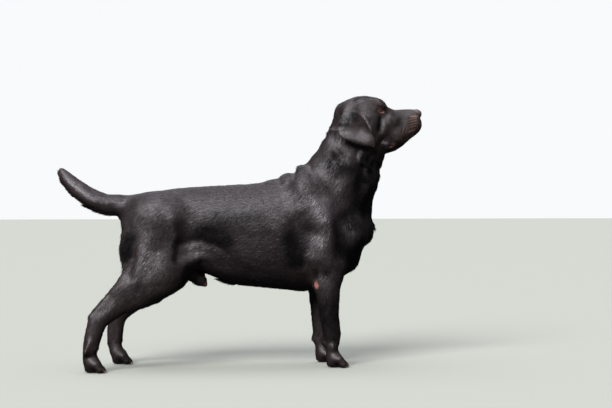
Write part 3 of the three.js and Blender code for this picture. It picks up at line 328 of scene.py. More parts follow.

# Where thin hair shows tan skin, in the same way. Along the flew's lower edge the tan is also a painted
# highlight, the light that the wet lip's edge reflects.
TANS = {
    # Partly tan skin, partly a painted highlight on the wet edge of the lip.
    "flew_edge": ([(470, 40, 668), (486, 38, 674), (504, 35, 683), (524, 30, 697), (541, 18, 708)], 1.0, 3.4),
    "below_nose": ([(508, 27, 752), (522, 25, 754), (536, 19, 753)], 0.9, 2.6),
    "pad_1": ([(500, 36, 744), (518, 33, 748), (534, 26, 749)], 0.3, 2.2),
    "pad_2": ([(500, 38, 736), (520, 34, 740), (536, 27, 742)], 0.35, 2.4),
    "pad_3": ([(500, 39, 727), (520, 35, 732), (537, 28, 735)], 0.4, 2.6),
    "pad_4": ([(502, 40, 718), (518, 36, 724), (534, 29, 728)], 0.45, 2.6),
    "pad_5": ([(496, 40, 706), (514, 37, 712), (530, 30, 718)], 0.5, 3.4),
    "bars": ([(493, 40, 726), (486, 41, 713), (483, 42, 696)], 0.3, 2.0),
    "jaw_corner": ([(446, 44, 672), (462, 41, 668), (476, 39, 668)], 0.45, 5.0),
}

# Bare skin: how far above the mouth's line the lips are bare and how wide, how pink they are, and how
# wide the pinker part around the mouth's corner is. Soles are bare up to a height. In mm.
LIP = {"at": 0.9, "width": 2.3, "tint": 0.22, "corner": 20}
SOLE = {"height": 7, "over": 5, "facing": 0.5}
NOSE_EDGE = {"bare": 1.6, "over": 3}  # the skin's edge around the nose is bare, over a width in mm
SPOT_EDGE = {"at": 1.25, "over": 0.5}  # where a spot has faded out, and over what width, in its radii
SPOTS = {
    # name: middle (x, distance from the middle plane, z) and radii in mm, how bare and how pink
    "elbow": ((212, 100, 249), (8, 30, 16), 0.95, 0.5),
    "lip_corner": ((460, 38, 661), (15, 10, 5.5), 0.9, 1.0),
    "sheath_tip": ((-110, 0, 247), (12, 14, 9), 0.95, 0.3),
    "sheath": ((-135, 0, 270), (36, 24, 26), 0.25, 0.1),
    "scrotum": ((-273, 0, 296), (24, 26, 30), 0.75, 0.1),
    "ear_inside": ((332, 58, 716), (44, 7, 54), 0.3, 0.2),
    "hock": ((-456, 109, 150), (8, 12, 14), 0.4, 0.15),
}

# ---------------------------------------------------------------- driving values: the coat

# How the coat lies, by place (x, distance from the middle plane, z, all in mm): the way the hair points,
# how long it is in mm and how warm its brown is. Below zero the warmth is painted shade, which darkens the
# throat, the chest, the belly and the folds. Between the places it is mixed.
LIE = {
    "nose_top": ((530, 8, 780), (-1, 0, 0.1), 3, 0.7),
    "bridge": ((480, 10, 778), (-1, 0, 0.05), 4.5, 0.4),
    "stop": ((440, 6, 786), (-0.8, 0, 0.6), 6, 0.3),
    "forehead": ((415, 14, 805), (-0.9, 0, 0.4), 7, 0.2),
    "crown": ((360, 20, 814), (-1, 0, 0), 9, 0.1),
    "occiput": ((304, 14, 790), (-0.75, 0, -0.66), 10, 0),
    "brow": ((414, 40, 790), (-0.85, 0.15, 0.45), 5, 0.3),
    "temple": ((375, 52, 782), (-0.95, 0.1, -0.2), 8, 0.2),
    "inner_corner": ((430, 38, 764), (-0.6, 0.3, -0.7), 3.5, 0.5),
    "below_eye": ((410, 54, 744), (-0.85, 0.1, -0.5), 5, 0.4),
    "muzzle_side": ((470, 38, 744), (-0.93, 0, -0.35), 4.5, 0.5),
    "pad": ((520, 34, 738), (-0.93, 0, -0.35), 4, 0.8),
    "lip_front": ((540, 20, 715), (-0.6, 0.3, -0.75), 3.5, 0.9),
    "flew": ((495, 38, 694), (-0.85, 0, -0.52), 4.5, 0.8),
    "cheek": ((400, 58, 710), (-0.85, 0, -0.52), 9, 0.2),
    "jaw_corner": ((440, 46, 668), (-0.85, 0, -0.5), 8, 0.4),
    "chin": ((530, 8, 700), (-0.8, 0, -0.6), 4, 0.7),
    "jaw_under": ((470, 12, 650), (-0.98, 0, -0.2), 7, 0.4),
    "throat": ((410, 20, 610), (-0.5, 0, -0.86), 9, -0.6),
    "ear_root": ((325, 52, 780), (0.1, 0.4, -0.9), 6, 0.2),
    "ear_middle": ((340, 76, 730), (0.35, 0, -0.93), 5.5, 0.4),
    "ear_tip": ((376, 72, 670), (0.7, 0, -0.7), 5.5, 0.6),
    "ear_rear": ((286, 70, 710), (0.25, 0, -0.97), 6, 0.2),
    "nape": ((250, 24, 700), (-0.6, 0, -0.8), 12, 0),
    "neck_side": ((300, 78, 640), (-0.5, 0, -0.86), 12, -0.05),
    "neck_low": ((270, 92, 560), (-0.55, 0, -0.83), 13, 0),
    "neck_front": ((384, 12, 540), (-0.1, 0, -1), 11, -0.8),
    "withers": ((180, 20, 590), (-0.95, 0, -0.2), 13, 0),
    "breastbone": ((352, 10, 440), (-0.2, 0, -1), 15, -0.7),
    "brisket": ((330, 20, 350), (-0.6, 0, -0.8), 14, -0.5),
    "shoulder": ((260, 124, 470), (-0.5, 0, -0.87), 12, 0),
    "upper_arm": ((250, 128, 380), (-0.6, 0, -0.8), 12, 0.05),
    "sternum": ((190, 20, 244), (-1, 0, 0), 15, -0.3),
    "back": ((60, 24, 545), (-1, 0, 0), 13, 0),
    "loin": ((-140, 24, 530), (-1, 0, 0), 13, 0.05),
    "croup": ((-280, 24, 508), (-1, 0, -0.08), 14, 0.1),
    "ribs": ((90, 138, 420), (-0.94, 0, -0.34), 12, 0),
    "behind_elbow": ((140, 124, 372), (-0.9, 0, -0.4), 12, -0.5),
    "before_shoulder": ((288, 96, 416), (-0.5, 0, -0.87), 12, -0.4),
    "neck_groove": ((356, 62, 580), (-0.4, 0, -0.9), 11, -0.5),
    "flank_dark": ((-110, 124, 400), (-0.9, 0, -0.4), 12, -0.3),
    "ribs_rear": ((-40, 136, 400), (-0.94, 0, -0.34), 12, 0),
    "ribs_low": ((60, 90, 290), (-0.97, 0, -0.2), 13, -0.2),
    "belly": ((0, 20, 262), (-1, 0, 0), 16, -0.3),
    "tuck_up": ((-110, 30, 300), (-1, 0, 0.2), 16, 0),
    "flank": ((-150, 112, 380), (-0.85, 0, -0.5), 12, -0.1),
    "thigh_top": ((-260, 100, 480), (-0.85, 0, -0.5), 13, 0.1),
    "thigh": ((-270, 136, 400), (-0.6, 0, -0.8), 12, 0.25),
    "thigh_back": ((-372, 100, 380), (-0.35, -0.2, -0.9), 19, 0.6),
    "inner_thigh": ((-300, 34, 360), (-0.5, 0, -0.86), 12, 0.3),
    "stifle": ((-190, 116, 310), (-0.7, 0, -0.7), 12, 0.1),
    "shank": ((-330, 118, 260), (-0.7, 0, -0.7), 11, 0.3),
    "shank_back": ((-390, 106, 250), (-0.6, 0, -0.8), 15, 0.6),
    "hock": ((-430, 108, 150), (-0.2, 0, -0.98), 9, 0.3),
    "metatarsus": ((-450, 110, 80), (0, 0, -1), 8, 0.3),
    "left_metatarsus": ((-366, 110, 80), (0, 0, -1), 8, 0.3),
    "elbow": ((196, 88, 262), (-0.4, 0, -0.9), 12, 0.4),
    "forearm": ((250, 90, 200), (-0.2, 0, -0.98), 9, 0.1),
    "forearm_back": ((214, 80, 170), (-0.3, 0, -0.95), 12, 0.3),
    "wrist": ((250, 78, 100), (0, 0, -1), 7, 0.2),
    "fore_toes": ((290, 78, 26), (0.85, 0, -0.5), 6, 0.4),
    "hind_toes": ((-410, 110, 26), (0.85, 0, -0.5), 6, 0.4),
    "left_hind_toes": ((-326, 110, 26), (0.85, 0, -0.5), 6, 0.4),
    "tail_root": ((-350, 20, 480), (-1, 0, 0), 16, 0.1),
    "tail_middle": ((-430, 20, 500), (-0.93, 0, 0.36), 16, 0.3),
    "tail_end": ((-500, 14, 545), (-0.74, 0, 0.67), 12, 0.4),
    "tail_tip": ((-535, 6, 585), (-0.58, 0, 0.81), 7, 0.5),
    "tail_under": ((-420, 4, 458), (-0.95, 0, -0.3), 20, 0.4),
}
LIE_BLUR = 18 * MM
AT_ONCE = 20000  # points that are worked on together, to save memory

# Tufts: how far apart they stand in mm, on the body and where hair is as short as on the face, how wide
# they are, as a share of the hair's length and in mm, how they lift in degrees and by which shares of
# that, how deep they are rooted, how high they are for their width, how their normals tilt and spread,
# how bare the skin may be that they grow on, and how much of its bareness they show.
TUFTS = {
    "spacing": 2.3, "face_spacing": 1.25, "face_hair": 4, "body_hair": 12, "share": 0.115, "least": 0.42,
    "most": 1.9, "lift": 8, "lifts": (0.6, 1.5), "sunk": 0.25, "height": 0.45, "forward": 0.2, "tilt": 0.07,
    "spread": 0.15, "bare": (0.15, 0.6), "bareness": 0.5,
}
# Locks are longer tufts: how much wider, by which shares they lift at their root and further on, how they
# sway, how wide their middle is, and by which shares their lengths differ.
LOCKS = {
    "wider": 1.3, "lifts": (0.7, 1.4), "late": (0.3, 1.0), "sway": 0.12, "middle": 0.8,
    "lengths": (0.7, 1.15),
}
# The comb: swirls as (how wide in mm, how far they turn in degrees), how unruly single tufts are in
# degrees, and how the hair's length differs from place to place and from tuft to tuft.
COMB = {"swirls": ((46, 5), (13, 4)), "unruly": 5, "patches": 20, "uneven": 0.1, "lengths": (0.72, 1.18)}
# Strands: how wide they are in mm, how much they are drawn out along the hair, and how far their tufts lean
# over sideways and along the hair.
STRANDS = {"wide": 6, "waves": 16, "drawn_out": 0.68, "roll": 0.095, "forward": 0.12, "pitch": 0.065}
# A tuft's tone: its range, its least, how much its strand adds, and how far it goes by tuft or by tip. By
# tip it rises towards the tip, so the roots are painted darker, as the shade deep in the coat.
TONE = {"range": 0.6, "least": 0.2, "strand": 0.16, "tuft": 0.8, "tip": 0.2}
# Which way the coat's sheen turns where shade is painted into it and where a sheen is painted on it.
SHADE_LEAN = {"dark": np.array([0.2, 0, -0.5]), "painted_sheen": np.array([-0.12, 0, 0.34])}
FRINGE = {
    # name: middle (x, distance from the middle plane, z) in mm, radii in mm, the way that the skin faces
    # there, tufts, length in mm, lift in degrees
    "tail": ((-425, 0, 456), (100, 22, 30), (0, 0, -1), 900, 22, 19),
    "tail_end": ((-524, 0, 538), (30, 16, 62), (-0.76, 0, -0.65), 460, 13, 24),
    "thigh_back": ((-366, 100, 380), (34, 34, 90), (-1, 0, 0), 800, 22, 12),
    "belly": ((-34, 0, 262), (34, 24, 18), (0, 0, -1), 420, 22, 26),
    "tuck_up": ((-128, 0, 292), (52, 26, 26), (0, 0, -1), 500, 20, 14),
    "chest": ((336, 0, 330), (40, 34, 60), (0.9, 0, -0.4), 500, 18, 10),
    "breast": ((386, 0, 424), (16, 14, 20), (1, 0, 0), 160, 20, 24),
    "withers": ((160, 6, 598), (60, 36, 20), (0, 0, 1), 360, 15, 12),
    "elbow": ((192, 92, 258), (22, 22, 30), (-1, 0, 0), 200, 14, 14),
}
PIECE_LIMIT = 46000  # tufts in one coat piece
BAKE = {"patch": 0.003, "margin": 0.02, "tiles": (3, 2)}  # a tuft's size and the tiles on a piece's bake map


def rgb(red, green, blue):
    """A colour as the shaders take it."""
    return (red, green, blue, 1.0)


# The coat's browns. The first and darkest is shade painted into folds, hollows and the underside; the one
# after PALE is a painted sheen where the coat would catch the light.
PAINTED_SHADE = rgb(0.0030, 0.0017, 0.0013)
COOL = rgb(0.0112, 0.0066, 0.0064)
WARM = rgb(0.0300, 0.0160, 0.0118)
PALE = rgb(0.0270, 0.0205, 0.0220)
PAINTED_SHEEN = rgb(0.0760, 0.0630, 0.0660)
TAN = rgb(0.230, 0.120, 0.082)
BARE = rgb(0.055, 0.030, 0.025)
PINK = rgb(0.66, 0.27, 0.21)


# ---------------------------------------------------------------- arrays and meshes

def read(collection, name, width=3, kind=float):
    """One property of all the items of a collection, as an array."""
    values = np.empty(len(collection) * width, kind)
    collection.foreach_get(name, values)
    return values.reshape(-1, width) if width > 1 else values


def write_points(mesh, points):
    """Moves a mesh's vertices."""
    mesh.vertices.foreach_set("co", points.astype(np.float32).ravel())
    mesh.update()


def unit(vectors):
    """The vectors at the length 1."""
    return vectors / np.maximum(np.linalg.norm(vectors, axis=-1, keepdims=True), 1e-12)


def eased(t):
    """0 up to 0, 1 from 1, and a smooth step between them."""
    t = np.clip(t, 0, 1)
    return t * t * (3 - 2 * t)


def bell(distance, width):
    """1 at no distance, less and less beyond a width."""
    return np.exp(-((distance / width) ** 2))


def box(name):
    """The low and the high corner of a node's box."""
    return np.array([list(corner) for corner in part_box(name)])


def mirrored(points):
    """Points as x, distance from the middle plane and z, so that both sides of the dog are alike."""
    return points * (1, 0, 1) + np.abs(points) * (0, 1, 0)


def away_from(points, middle, radii):
    """How far points are from a place and its mirror image, in its radii. Place and radii are in mm."""
    return np.linalg.norm((mirrored(points) / MM - middle) / radii, axis=1)


def new_object(name, mesh):
    """An object in the scene."""
    obj = bpy.data.objects.new(name, mesh)
    bpy.context.scene.collection.objects.link(obj)
    return obj


def mesh_of(name, points, faces):
    """A smooth mesh from arrays. All its faces have the same number of corners."""
    faces = np.asarray(faces, np.int32)
    mesh = bpy.data.meshes.new(name)
    mesh.vertices.add(len(points))
    mesh.vertices.foreach_set("co", np.asarray(points, np.float32).ravel())
    mesh.loops.add(faces.size)
    mesh.loops.foreach_set("vertex_index", faces.ravel())
    mesh.polygons.add(len(faces))
    mesh.polygons.foreach_set("loop_start", np.arange(0, faces.size, faces.shape[1], dtype=np.int32))
    mesh.update(calc_edges=True)
    mesh.shade_smooth()
    return mesh


def attribute(mesh, name, values):
    """Gives a mesh a number or a vector per point, for its materials."""
    values = np.asarray(values, np.float32)
    kind, field = ("FLOAT", "value") if values.ndim == 1 else ("FLOAT_VECTOR", "vector")
    mesh.attributes.new(name, kind, "POINT").data.foreach_set(field, values.ravel())


def remeshed(mesh, voxel):
    """A closed mesh around another one, made of cubes of one size."""
    rough = new_object("rough", mesh)
    modifier = rough.modifiers.new("remesh", "REMESH")
    modifier.mode = "VOXEL"
    modifier.voxel_size = voxel
    graph = bpy.context.evaluated_depsgraph_get()
    out = bpy.data.meshes.new_from_object(rough.evaluated_get(graph))
    bpy.data.objects.remove(rough)
    return out


def curve_through(points, count):
    """Evenly numbered points on a smooth curve through a few points."""
    points = np.asarray(points, float)
    ends = np.vstack([2 * points[0] - points[1], points, 2 * points[-1] - points[-2]])
    place = np.linspace(0, len(points) - 1, count)
    i = np.minimum(place.astype(int), len(points) - 2)
    t = (place - i)[:, None]
    a, b, c, d = (ends[i + k] for k in range(4))
    return b + 0.5 * t * (c - a + t * (2 * a - 5 * b + 4 * c - d + t * (3 * (b - c) + d - a)))


def tube(path, radii, sides=6):
    """The points and triangles of a closed tube along a path."""
    along = unit(np.gradient(path, axis=0))
    least = np.eye(3)[np.argmin(np.abs(along).mean(axis=0))]
    first = unit(np.cross(along, least))
    second = np.cross(along, first)
    turn = np.linspace(0, 2 * math.pi, sides, endpoint=False)
    radii = np.broadcast_to(radii, len(path))[:, None, None]
    ring = np.cos(turn)[:, None] * first[:, None] + np.sin(turn)[:, None] * second[:, None]
    points = (path[:, None] + radii * ring).reshape(-1, 3)
    faces = []
    for row in range(len(path) - 1):
        for k in range(sides):
            a, b = row * sides + k, row * sides + (k + 1) % sides
            faces += [(a, a + sides, b), (b, a + sides, b + sides)]
    head, tail = len(points), len(points) + 1
    last = (len(path) - 1) * sides
    for k in range(sides):
        follow = (k + 1) % sides
        faces += [(head, k, follow), (tail, last + follow, last + k)]
    return np.vstack([points, path[:1], path[-1:]]), np.array(faces)


def joined(name, shapes):
    """One object from several pairs of points and triangles."""
    points, faces, start = [], [], 0
    for shape_points, shape_faces in shapes:
        points.append(shape_points)
        faces.append(shape_faces + start)
        start += len(shape_points)
    return new_object(name, mesh_of(name, np.vstack(points), np.vstack(faces)))


class Lens:
    """Enlarges what lies beyond a plane, about a point on it, so that a remesh makes its faces smaller."""

    def __init__(self, centre, way, gain, ramp, quadrant=None):
        self.centre, self.way = np.array(centre, float), np.array(way, float)
        self.gain, self.ramp, self.quadrant = gain, ramp, quadrant

    def stretch(self, depth):
        """How much points at a depth beyond the plane are enlarged."""
        return 1 + (self.gain - 1) * eased(depth / self.ramp)

    def seen(self, points):
        """Which points the lens works on."""
        if self.quadrant is None:
            return np.ones(len(points), bool)
        return np.all(points[:, :2] * self.quadrant > 0, axis=1)

    def scaled(self, points, factor):
        """Points drawn away from the centre by a factor each."""
        moved = self.centre + (points - self.centre) * factor[:, None]
        return np.where(self.seen(points)[:, None], moved, points)

    def enlarged(self, points):
        """Points as the lens enlarges them."""
        return self.scaled(points, self.stretch((points - self.centre) @ self.way))

    def restored(self, points):
        """Enlarged points, back where they were."""
        depths = np.linspace(0, 1, 4001)
        depth = np.interp((points - self.centre) @ self.way, depths * self.stretch(depths), depths)
        return self.scaled(points, 1 / self.stretch(depth))


def paw_lenses():
    """A lens for each paw, about its side that faces the other paw, so that they don't grow together."""
    for name in GROUPS["paw"]:
        low, high = box(name)
        inner = min(low[1], high[1], key=abs)
        centre = ((low[0] + high[0]) / 2, inner, PAW_LENS["height"])
        quadrant = (math.copysign(1, centre[0]), math.copysign(1, inner))
        yield Lens(centre, (0, 0, -1), PAW_LENS["gain"], PAW_LENS["ramp"], quadrant)


LENSES = [Lens(**HEAD_LENS), *paw_lenses()]


class Surface:
    """A mesh whose points are worked on together."""

    def __init__(self, mesh):
        self.mesh = mesh
        self.points = read(mesh.vertices, "co")
        self.edges = read(mesh.edges, "vertices", 2, np.int32)
        self.near = np.maximum(np.bincount(self.edges.ravel(), minlength=len(self.points)), 1)

    def neighbours(self, values):
        """The mean of the neighbours' values at each point."""
        a, b = self.edges.T
        columns = values.reshape(len(values), -1).T
        count = len(values)
        total = [np.bincount(a, c[b], count) + np.bincount(b, c[a], count) for c in columns]
        return (np.array(total) / self.near).T.reshape(values.shape)

    def blurred(self, values, rounds, strength=0.9):
        """The values after rounds of blur, which take over a share of the neighbours' mean."""
        share = strength if np.isscalar(strength) else strength.reshape(-1, *[1] * (values.ndim - 1))
        for _ in range(rounds):
            values = values + share * (self.neighbours(values) - values)
        return values

    def calm(self, rounds, share):
        """Blurs the points themselves, only where their share is above zero."""
        edges = self.edges[(share > 0)[self.edges].any(axis=1)]
        numbers, slots = np.unique(edges, return_inverse=True)
        part = copy.copy(self)
        part.edges, part.near = slots.reshape(-1, 2), self.near[numbers]
        self.points[numbers] = part.blurred(self.points[numbers], rounds, share[numbers])

    def normals(self):
        """The normals at the points."""
        write_points(self.mesh, self.points)
        return read(self.mesh.vertex_normals, "vector")

    def tree(self):
        """A search tree of the faces."""
        write_points(self.mesh, self.points)
        return BVHTree.FromPolygons(self.points.tolist(), [tuple(p.vertices) for p in self.mesh.polygons])


# ---------------------------------------------------------------- the eyes' and the nose's places

class Eye:
    """The place of one eye, and its own directions: out along the gaze, in towards the nose and up."""

    def __init__(self, side):
        low, high = box(f"eye_{side}")
        self.side, self.sign = side, SIDES[side]
        self.centre = (low + high) / 2
        self.radius = (high - low).max() / 2
        x, y, z = EYE["gaze"]
        self.gaze = unit(np.array([x, self.sign * y, z]))
        level = unit(np.cross(self.gaze, (0, 0, 1)))
        level = level * math.copysign(1, level[0])
        rise = np.cross(self.gaze, level)
        rise = rise * math.copysign(1, rise[2])
        tilt = math.radians(EYE["tilt"])
        self.inwards = level * math.cos(tilt) - rise * math.sin(tilt)
        self.up = rise * math.cos(tilt) + level * math.sin(tilt)

    def seen(self, points):
        """Points in the eye's own frame: inwards, up and out, in mm."""
        return (points - self.centre) @ np.array([self.inwards, self.up, self.gaze]).T / MM

    def placed(self, inwards, up, radius):
        """Points on a ball about the eye's middle, by how far inwards and up they are seen, all in mm."""
        out = np.sqrt(np.maximum(radius**2 - inwards**2 - up**2, 0))
        flat = inwards[..., None] * self.inwards + up[..., None] * self.up + out[..., None] * self.gaze
        return self.centre + flat * MM

    @staticmethod
    def lids(inwards):
        """The heights of the upper and the lower lid's edges, in mm."""
        across = np.clip(2 * inwards / EYE["width"], -1, 1)
        arch = np.maximum(1 - across**2, 0)
        lean = 1 + EYE["lean"] * across
        upper = EYE["upper"] * arch ** EYE["upper_arch"] * lean
        return upper, -EYE["lower"] * arch ** EYE["lower_arch"] * (2 - lean)

    def opening(self, points):
        """How far each point is inside the opening between the lids, in mm: below zero outside it."""
        inwards, up, out = self.seen(points).T
        upper, lower = self.lids(inwards)
        edge = np.minimum(upper - up, up - lower)
        beyond = EYE["width"] / 2 - np.abs(inwards)
        return np.where(out > 0, np.minimum(edge, beyond + EYE["past_corner"]), -99)

    def towards_haw(self, points, outer, over, down):
        """1 on the lower lid near its inner corner, 0 elsewhere: from where and over what width, in mm."""
        inwards, up, _ = self.seen(points).T
        return eased((inwards + outer) / over) * eased((1 - up) / down)


EYES = [Eye(side) for side in SIDES]


def near_eyes(points, reach):
    """Which points are within a reach of an eye's middle, in mm."""
    return np.any([np.linalg.norm(points - eye.centre, axis=1) < reach * MM for eye in EYES], axis=0)


def tree_of(*names):
    """A search tree of the faces of some nodes, and the place in `names` of each face's node."""
    points, faces, owner = [], [], []
    for number, name in enumerate(names):
        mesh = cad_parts[name].data
        start = len(points)
        points.extend(v.co.copy() for v in mesh.vertices)
        faces.extend([start + i for i in p.vertices] for p in mesh.polygons)
        owner.extend([number] * len(mesh.polygons))
    return BVHTree.FromPolygons(points, faces), np.array(owner)


def beside_nose(points):
    """The number of each point near the nose, with the nearest place on the nose, its normal and the gap."""
    nose = tree_of("nose")[0]
    away = np.linalg.norm(points - box("nose").mean(axis=0), axis=1)
    for i in np.flatnonzero(away < NOSE["near"] * MM):
        place, normal, _, gap = nose.find_nearest(points[i])
        yield i, np.array(place), np.array(normal), gap


# ---------------------------------------------------------------- the skin

def merged(mesh):
    """A node's mesh with its split vertices joined again."""
    bm = bmesh.new()
    bm.from_mesh(mesh)
    bmesh.ops.remove_doubles(bm, verts=bm.verts, dist=2e-6)
    out = bpy.data.meshes.new("merged")
    bm.to_mesh(out)
    bm.free()
    return out


def fused_flesh():
    """All the nodes of flesh as one mesh, enlarged by the lenses, remeshed and restored."""
    bm = bmesh.new()
    for name in [*FLESH, *HARD]:
        mesh = merged(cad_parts[name].data)
        points = read(mesh.vertices, "co") + BRIDGE * read(mesh.vertex_normals, "vector")
        for lens in LENSES:
            points = lens.enlarged(points)
        write_points(mesh, points)
        bm.from_mesh(mesh)
    flesh = bpy.data.meshes.new("flesh")
    bm.to_mesh(flesh)
    bm.free()
    mesh = remeshed(flesh, VOXEL)
    points = read(mesh.vertices, "co")
    for lens in reversed(LENSES):
        points = lens.restored(points)
    write_points(mesh, points)
    return mesh


def group_shares(points):
    """How much of each group is at each point: 1 where the nearest node is of the group."""
    names = [name for members in GROUPS.values() for name in members]
    tree, owner = tree_of(*names)
    nearest = owner[[tree.find_nearest(p)[2] for p in points]]
    return {
        group: np.isin(nearest, [names.index(name) for name in members]).astype(float)
        for group, members in GROUPS.items()
    }


def mapped(shares, table):
    """A value per point from a table of values per group."""
    return sum(shares[group] * table[group] for group in GROUPS)


def rounded_skin():
    """The fused flesh with its facets smoothed out, lowered by the depth of the coat."""
    mesh = fused_flesh()
    surface = Surface(mesh)
    shares = group_shares(surface.points)
    soft = {group: surface.blurred(share, SMOOTH["borders"]) for group, share in shares.items()}
    spacing = np.full(len(surface.points), VOXEL)
    fine = {"head": HEAD_LENS["gain"], "ear": HEAD_LENS["gain"], "paw": PAW_LENS["gain"]}
    for group, gain in fine.items():
        spacing /= 1 + (gain - 1) * shares[group]
    width = mapped(soft, SMOOTH_WIDTH) * MM
    rounds = SMOOTH["rounds"]
    # One round of blur at full strength spreads by half the squared spacing.
    strength = np.clip((width / spacing) ** 2 / (rounds / 2), 0, SMOOTH["most"])
    smooth = surface.blurred(surface.points, rounds, strength)
    lost = surface.blurred(surface.points - smooth, rounds, strength)
    surface.points = smooth + lost
    depth = mapped(soft, COAT_DEPTH) * MM + BRIDGE
    surface.points = surface.points - surface.normals() * depth[:, None]
    surface.points = surface.points + swelled(surface, mapped(soft, SWELL))
    write_points(mesh, surface.points)
    return mesh


def swelled(surface, share):
    """How far each point moves where the forms about as wide as muscles stand out more."""
    form = surface.points - surface.blurred(surface.points, SWELL_ROUNDS)
    return (form - surface.blurred(form, SWELL_ROUNDS)) * share[:, None]


def refined(mesh, wanted):
    """The mesh with the faces whose middles are wanted cut in four."""
    chosen = np.flatnonzero(wanted(read(mesh.polygons, "center")))
    bm = bmesh.new()
    bm.from_mesh(mesh)
    bm.faces.ensure_lookup_table()
    edges = {edge for i in chosen for edge in bm.faces[i].edges}
    bmesh.ops.subdivide_edges(bm, edges=list(edges), cuts=1, use_grid_fill=True)
    bmesh.ops.triangulate(bm, faces=[face for face in bm.faces if len(face.verts) > 4])
    bm.to_mesh(mesh)
    bm.free()
    return mesh


class Mouth:
    """The line between the lips, where the head's and the jaw's nodes meet before the mouth's corners."""

    def __init__(self):
        self.head, self.jaw = (tree_of(name)[0] for name in ("head", "jaw"))
        low, high = box("jaw")
        self.low, self.high = low - MOUTH["margin"] * MM, high + MOUTH["margin"] * MM
        back, side = low[0] + MOUTH["corner"] * MM, high[1] - MOUTH["inset"] * MM
        self.corner = np.array((back, side, MOUTH["height"] * MM))

    def beside(self, points):
        """How far each point is above the line, towards the head: in mm, below zero on the jaw."""
        out = np.full(len(points), 99.0)
        near = np.flatnonzero(np.all((points > self.low) & (points < self.high), axis=1))
        for i in near:
            point = points[i]
            out[i] = (self.jaw.find_nearest(point)[3] - self.head.find_nearest(point)[3]) / MM
        return out

    def near(self, points, reach):
        """Which points are within a reach of the line, in mm."""
        return np.abs(self.beside(points)) < reach

    def open(self, points):
        """1 in front of the mouth's corners, 0 behind them."""
        return eased((points[:, 0] - self.corner[0]) / (MOUTH["opens"] * MM))


def strokes(surface, tree, path, width):
    """On each side, the points near a path laid on the skin, and how much each is under the stroke."""
    for sign in SIDES.values():
        rough = curve_through(np.array(path) * (1, sign, 1) * MM, STROKE["points"])
        line = np.array([tree.find_nearest(p)[0] for p in rough])
        reach = STROKE["reach"] * width * MM
        low, high = line.min(axis=0) - reach, line.max(axis=0) + reach
        near = np.flatnonzero(np.all((surface.points > low) & (surface.points < high), axis=1))
        from_start = surface.points[near][:, None] - line[None, :-1]
        step = np.diff(line, axis=0)
        part = np.clip((from_start * step).sum(axis=2) / np.maximum((step**2).sum(axis=1), 1e-12), 0, 1)
        gaps = np.linalg.norm(from_start - part[..., None] * step, axis=2)
        closest = gaps.argmin(axis=1)
        row = np.arange(len(near))
        run = (closest + part[row, closest]) / len(step)
        ends = eased(np.minimum(run, 1 - run) / STROKE["fade"])
        yield near, ends * bell(gaps[row, closest], width * MM)


def mark_skin(surface, tree, path, height, width):
    """Raises a soft ridge, or sinks a crease where the height is below zero, along a path on the skin."""
    for near, share in strokes(surface, tree, path, width):
        surface.points[near] += surface.directions[near] * (height * MM * share)[:, None]


def painted(surface, tree, table):
    """How much all the strokes of a table add up to at each point, within the range of shades."""
    paint = np.zeros(len(surface.points))
    for path, strength, width in table.values():
        for near, share in strokes(surface, tree, path, width):
            paint[near] += strength * share
    return np.clip(paint, DARKEST, PAINTED_SHEEN_MOST)


def shape_lids(surface, eye):
    """Lays the skin over the eyeball as two lids, and takes it back behind the ball between them."""
    away = surface.points - eye.centre
    gap = np.linalg.norm(away, axis=1)
    near = np.flatnonzero(gap < eye.radius + LIDS["near"] * MM)
    inside = eye.opening(surface.points[near])
    front = eye.seen(surface.points[near])[:, 2] > 0
    out = unit(away[near])
    ball = eye.radius / MM
    hug = eased(1 + inside / LIDS["cling"]) * front
    radius = gap[near] / MM
    radius = radius + (ball + LIDS["thick"] - radius) * hug
    behind = eased((inside + LIDS["edge"]) / LIDS["soon"])
    sunk = radius + (ball - LIDS["under"] - radius) * behind
    radius = np.where(inside > -LIDS["edge"], sunk, radius)
    surface.points[near] = eye.centre + out * radius[:, None] * MM


def calm_steps(surface):
    """Rounds the pasterns, and smooths away the steps between solids there and at the other calmed places."""
    places = list(CALMED.values())
    for name in GROUPS["paw"]:
        low, high = box(name) / MM
        x = low[0] + ANKLE["along"] * (high[0] - low[0])
        middle = np.array((x, (low[1] + high[1]) / 2, high[2] - ANKLE["down"]))
        gap = np.linalg.norm((surface.points / MM - middle) / ANKLE["shape"], axis=1)
        surface.points += surface.normals() * (ANKLE["swell"] * MM * bell(gap, ANKLE["reach"]))[:, None]
        places.append((mirrored(middle), ANKLE["radii"], ANKLE["rounds"]))
    for middle, radii, rounds in places:
        share = eased(CALM["fade"] * (1 - away_from(surface.points, middle, radii)))
        surface.calm(rounds, CALM["strength"] * share)


def flare_ears(surface):
    """Bends the lower half of each ear outwards, both its faces alike."""
    ears = tree_of("ear_right", "ear_left")[0]
    _, y, z = (surface.points / MM).T
    low = (z < EAR_FLARE["below"]) & (z > EAR_FLARE["above"]) & (np.abs(y) > EAR_FLARE["inner"])
    for i in np.flatnonzero(low):
        gap = ears.find_nearest(surface.points[i])[3] / MM
        down = eased((EAR_FLARE["below"] - z[i]) / EAR_FLARE["over"])
        share = down * eased((EAR_FLARE["gap"] - gap) / EAR_FLARE["gap_over"])
        surface.points[i, 1] += math.copysign(EAR_FLARE["out"] * share * MM, y[i])


def cut_mouth(surface, mouth):
    """Sinks a groove along the line between the lips, with a soft rim above it."""
    beside = mouth.beside(surface.points)
    groove = -MOUTH["depth"] * bell(beside, MOUTH["width"])
    rim = MOUTH["rim"] * bell(beside - MOUTH["rim_at"], MOUTH["rim_width"])
    height = (groove + rim) * mouth.open(surface.points) * MM
    surface.points += surface.directions * height[:, None]


def sink_under_nose(surface):
    """Takes the skin back where it touches the nose, so that the nose leather covers it."""
    for i, place, normal, gap in beside_nose(surface.points):
        if gap < NOSE["touch"] * MM:
            surface.points[i] = place - NOSE["sunk"] * MM * normal


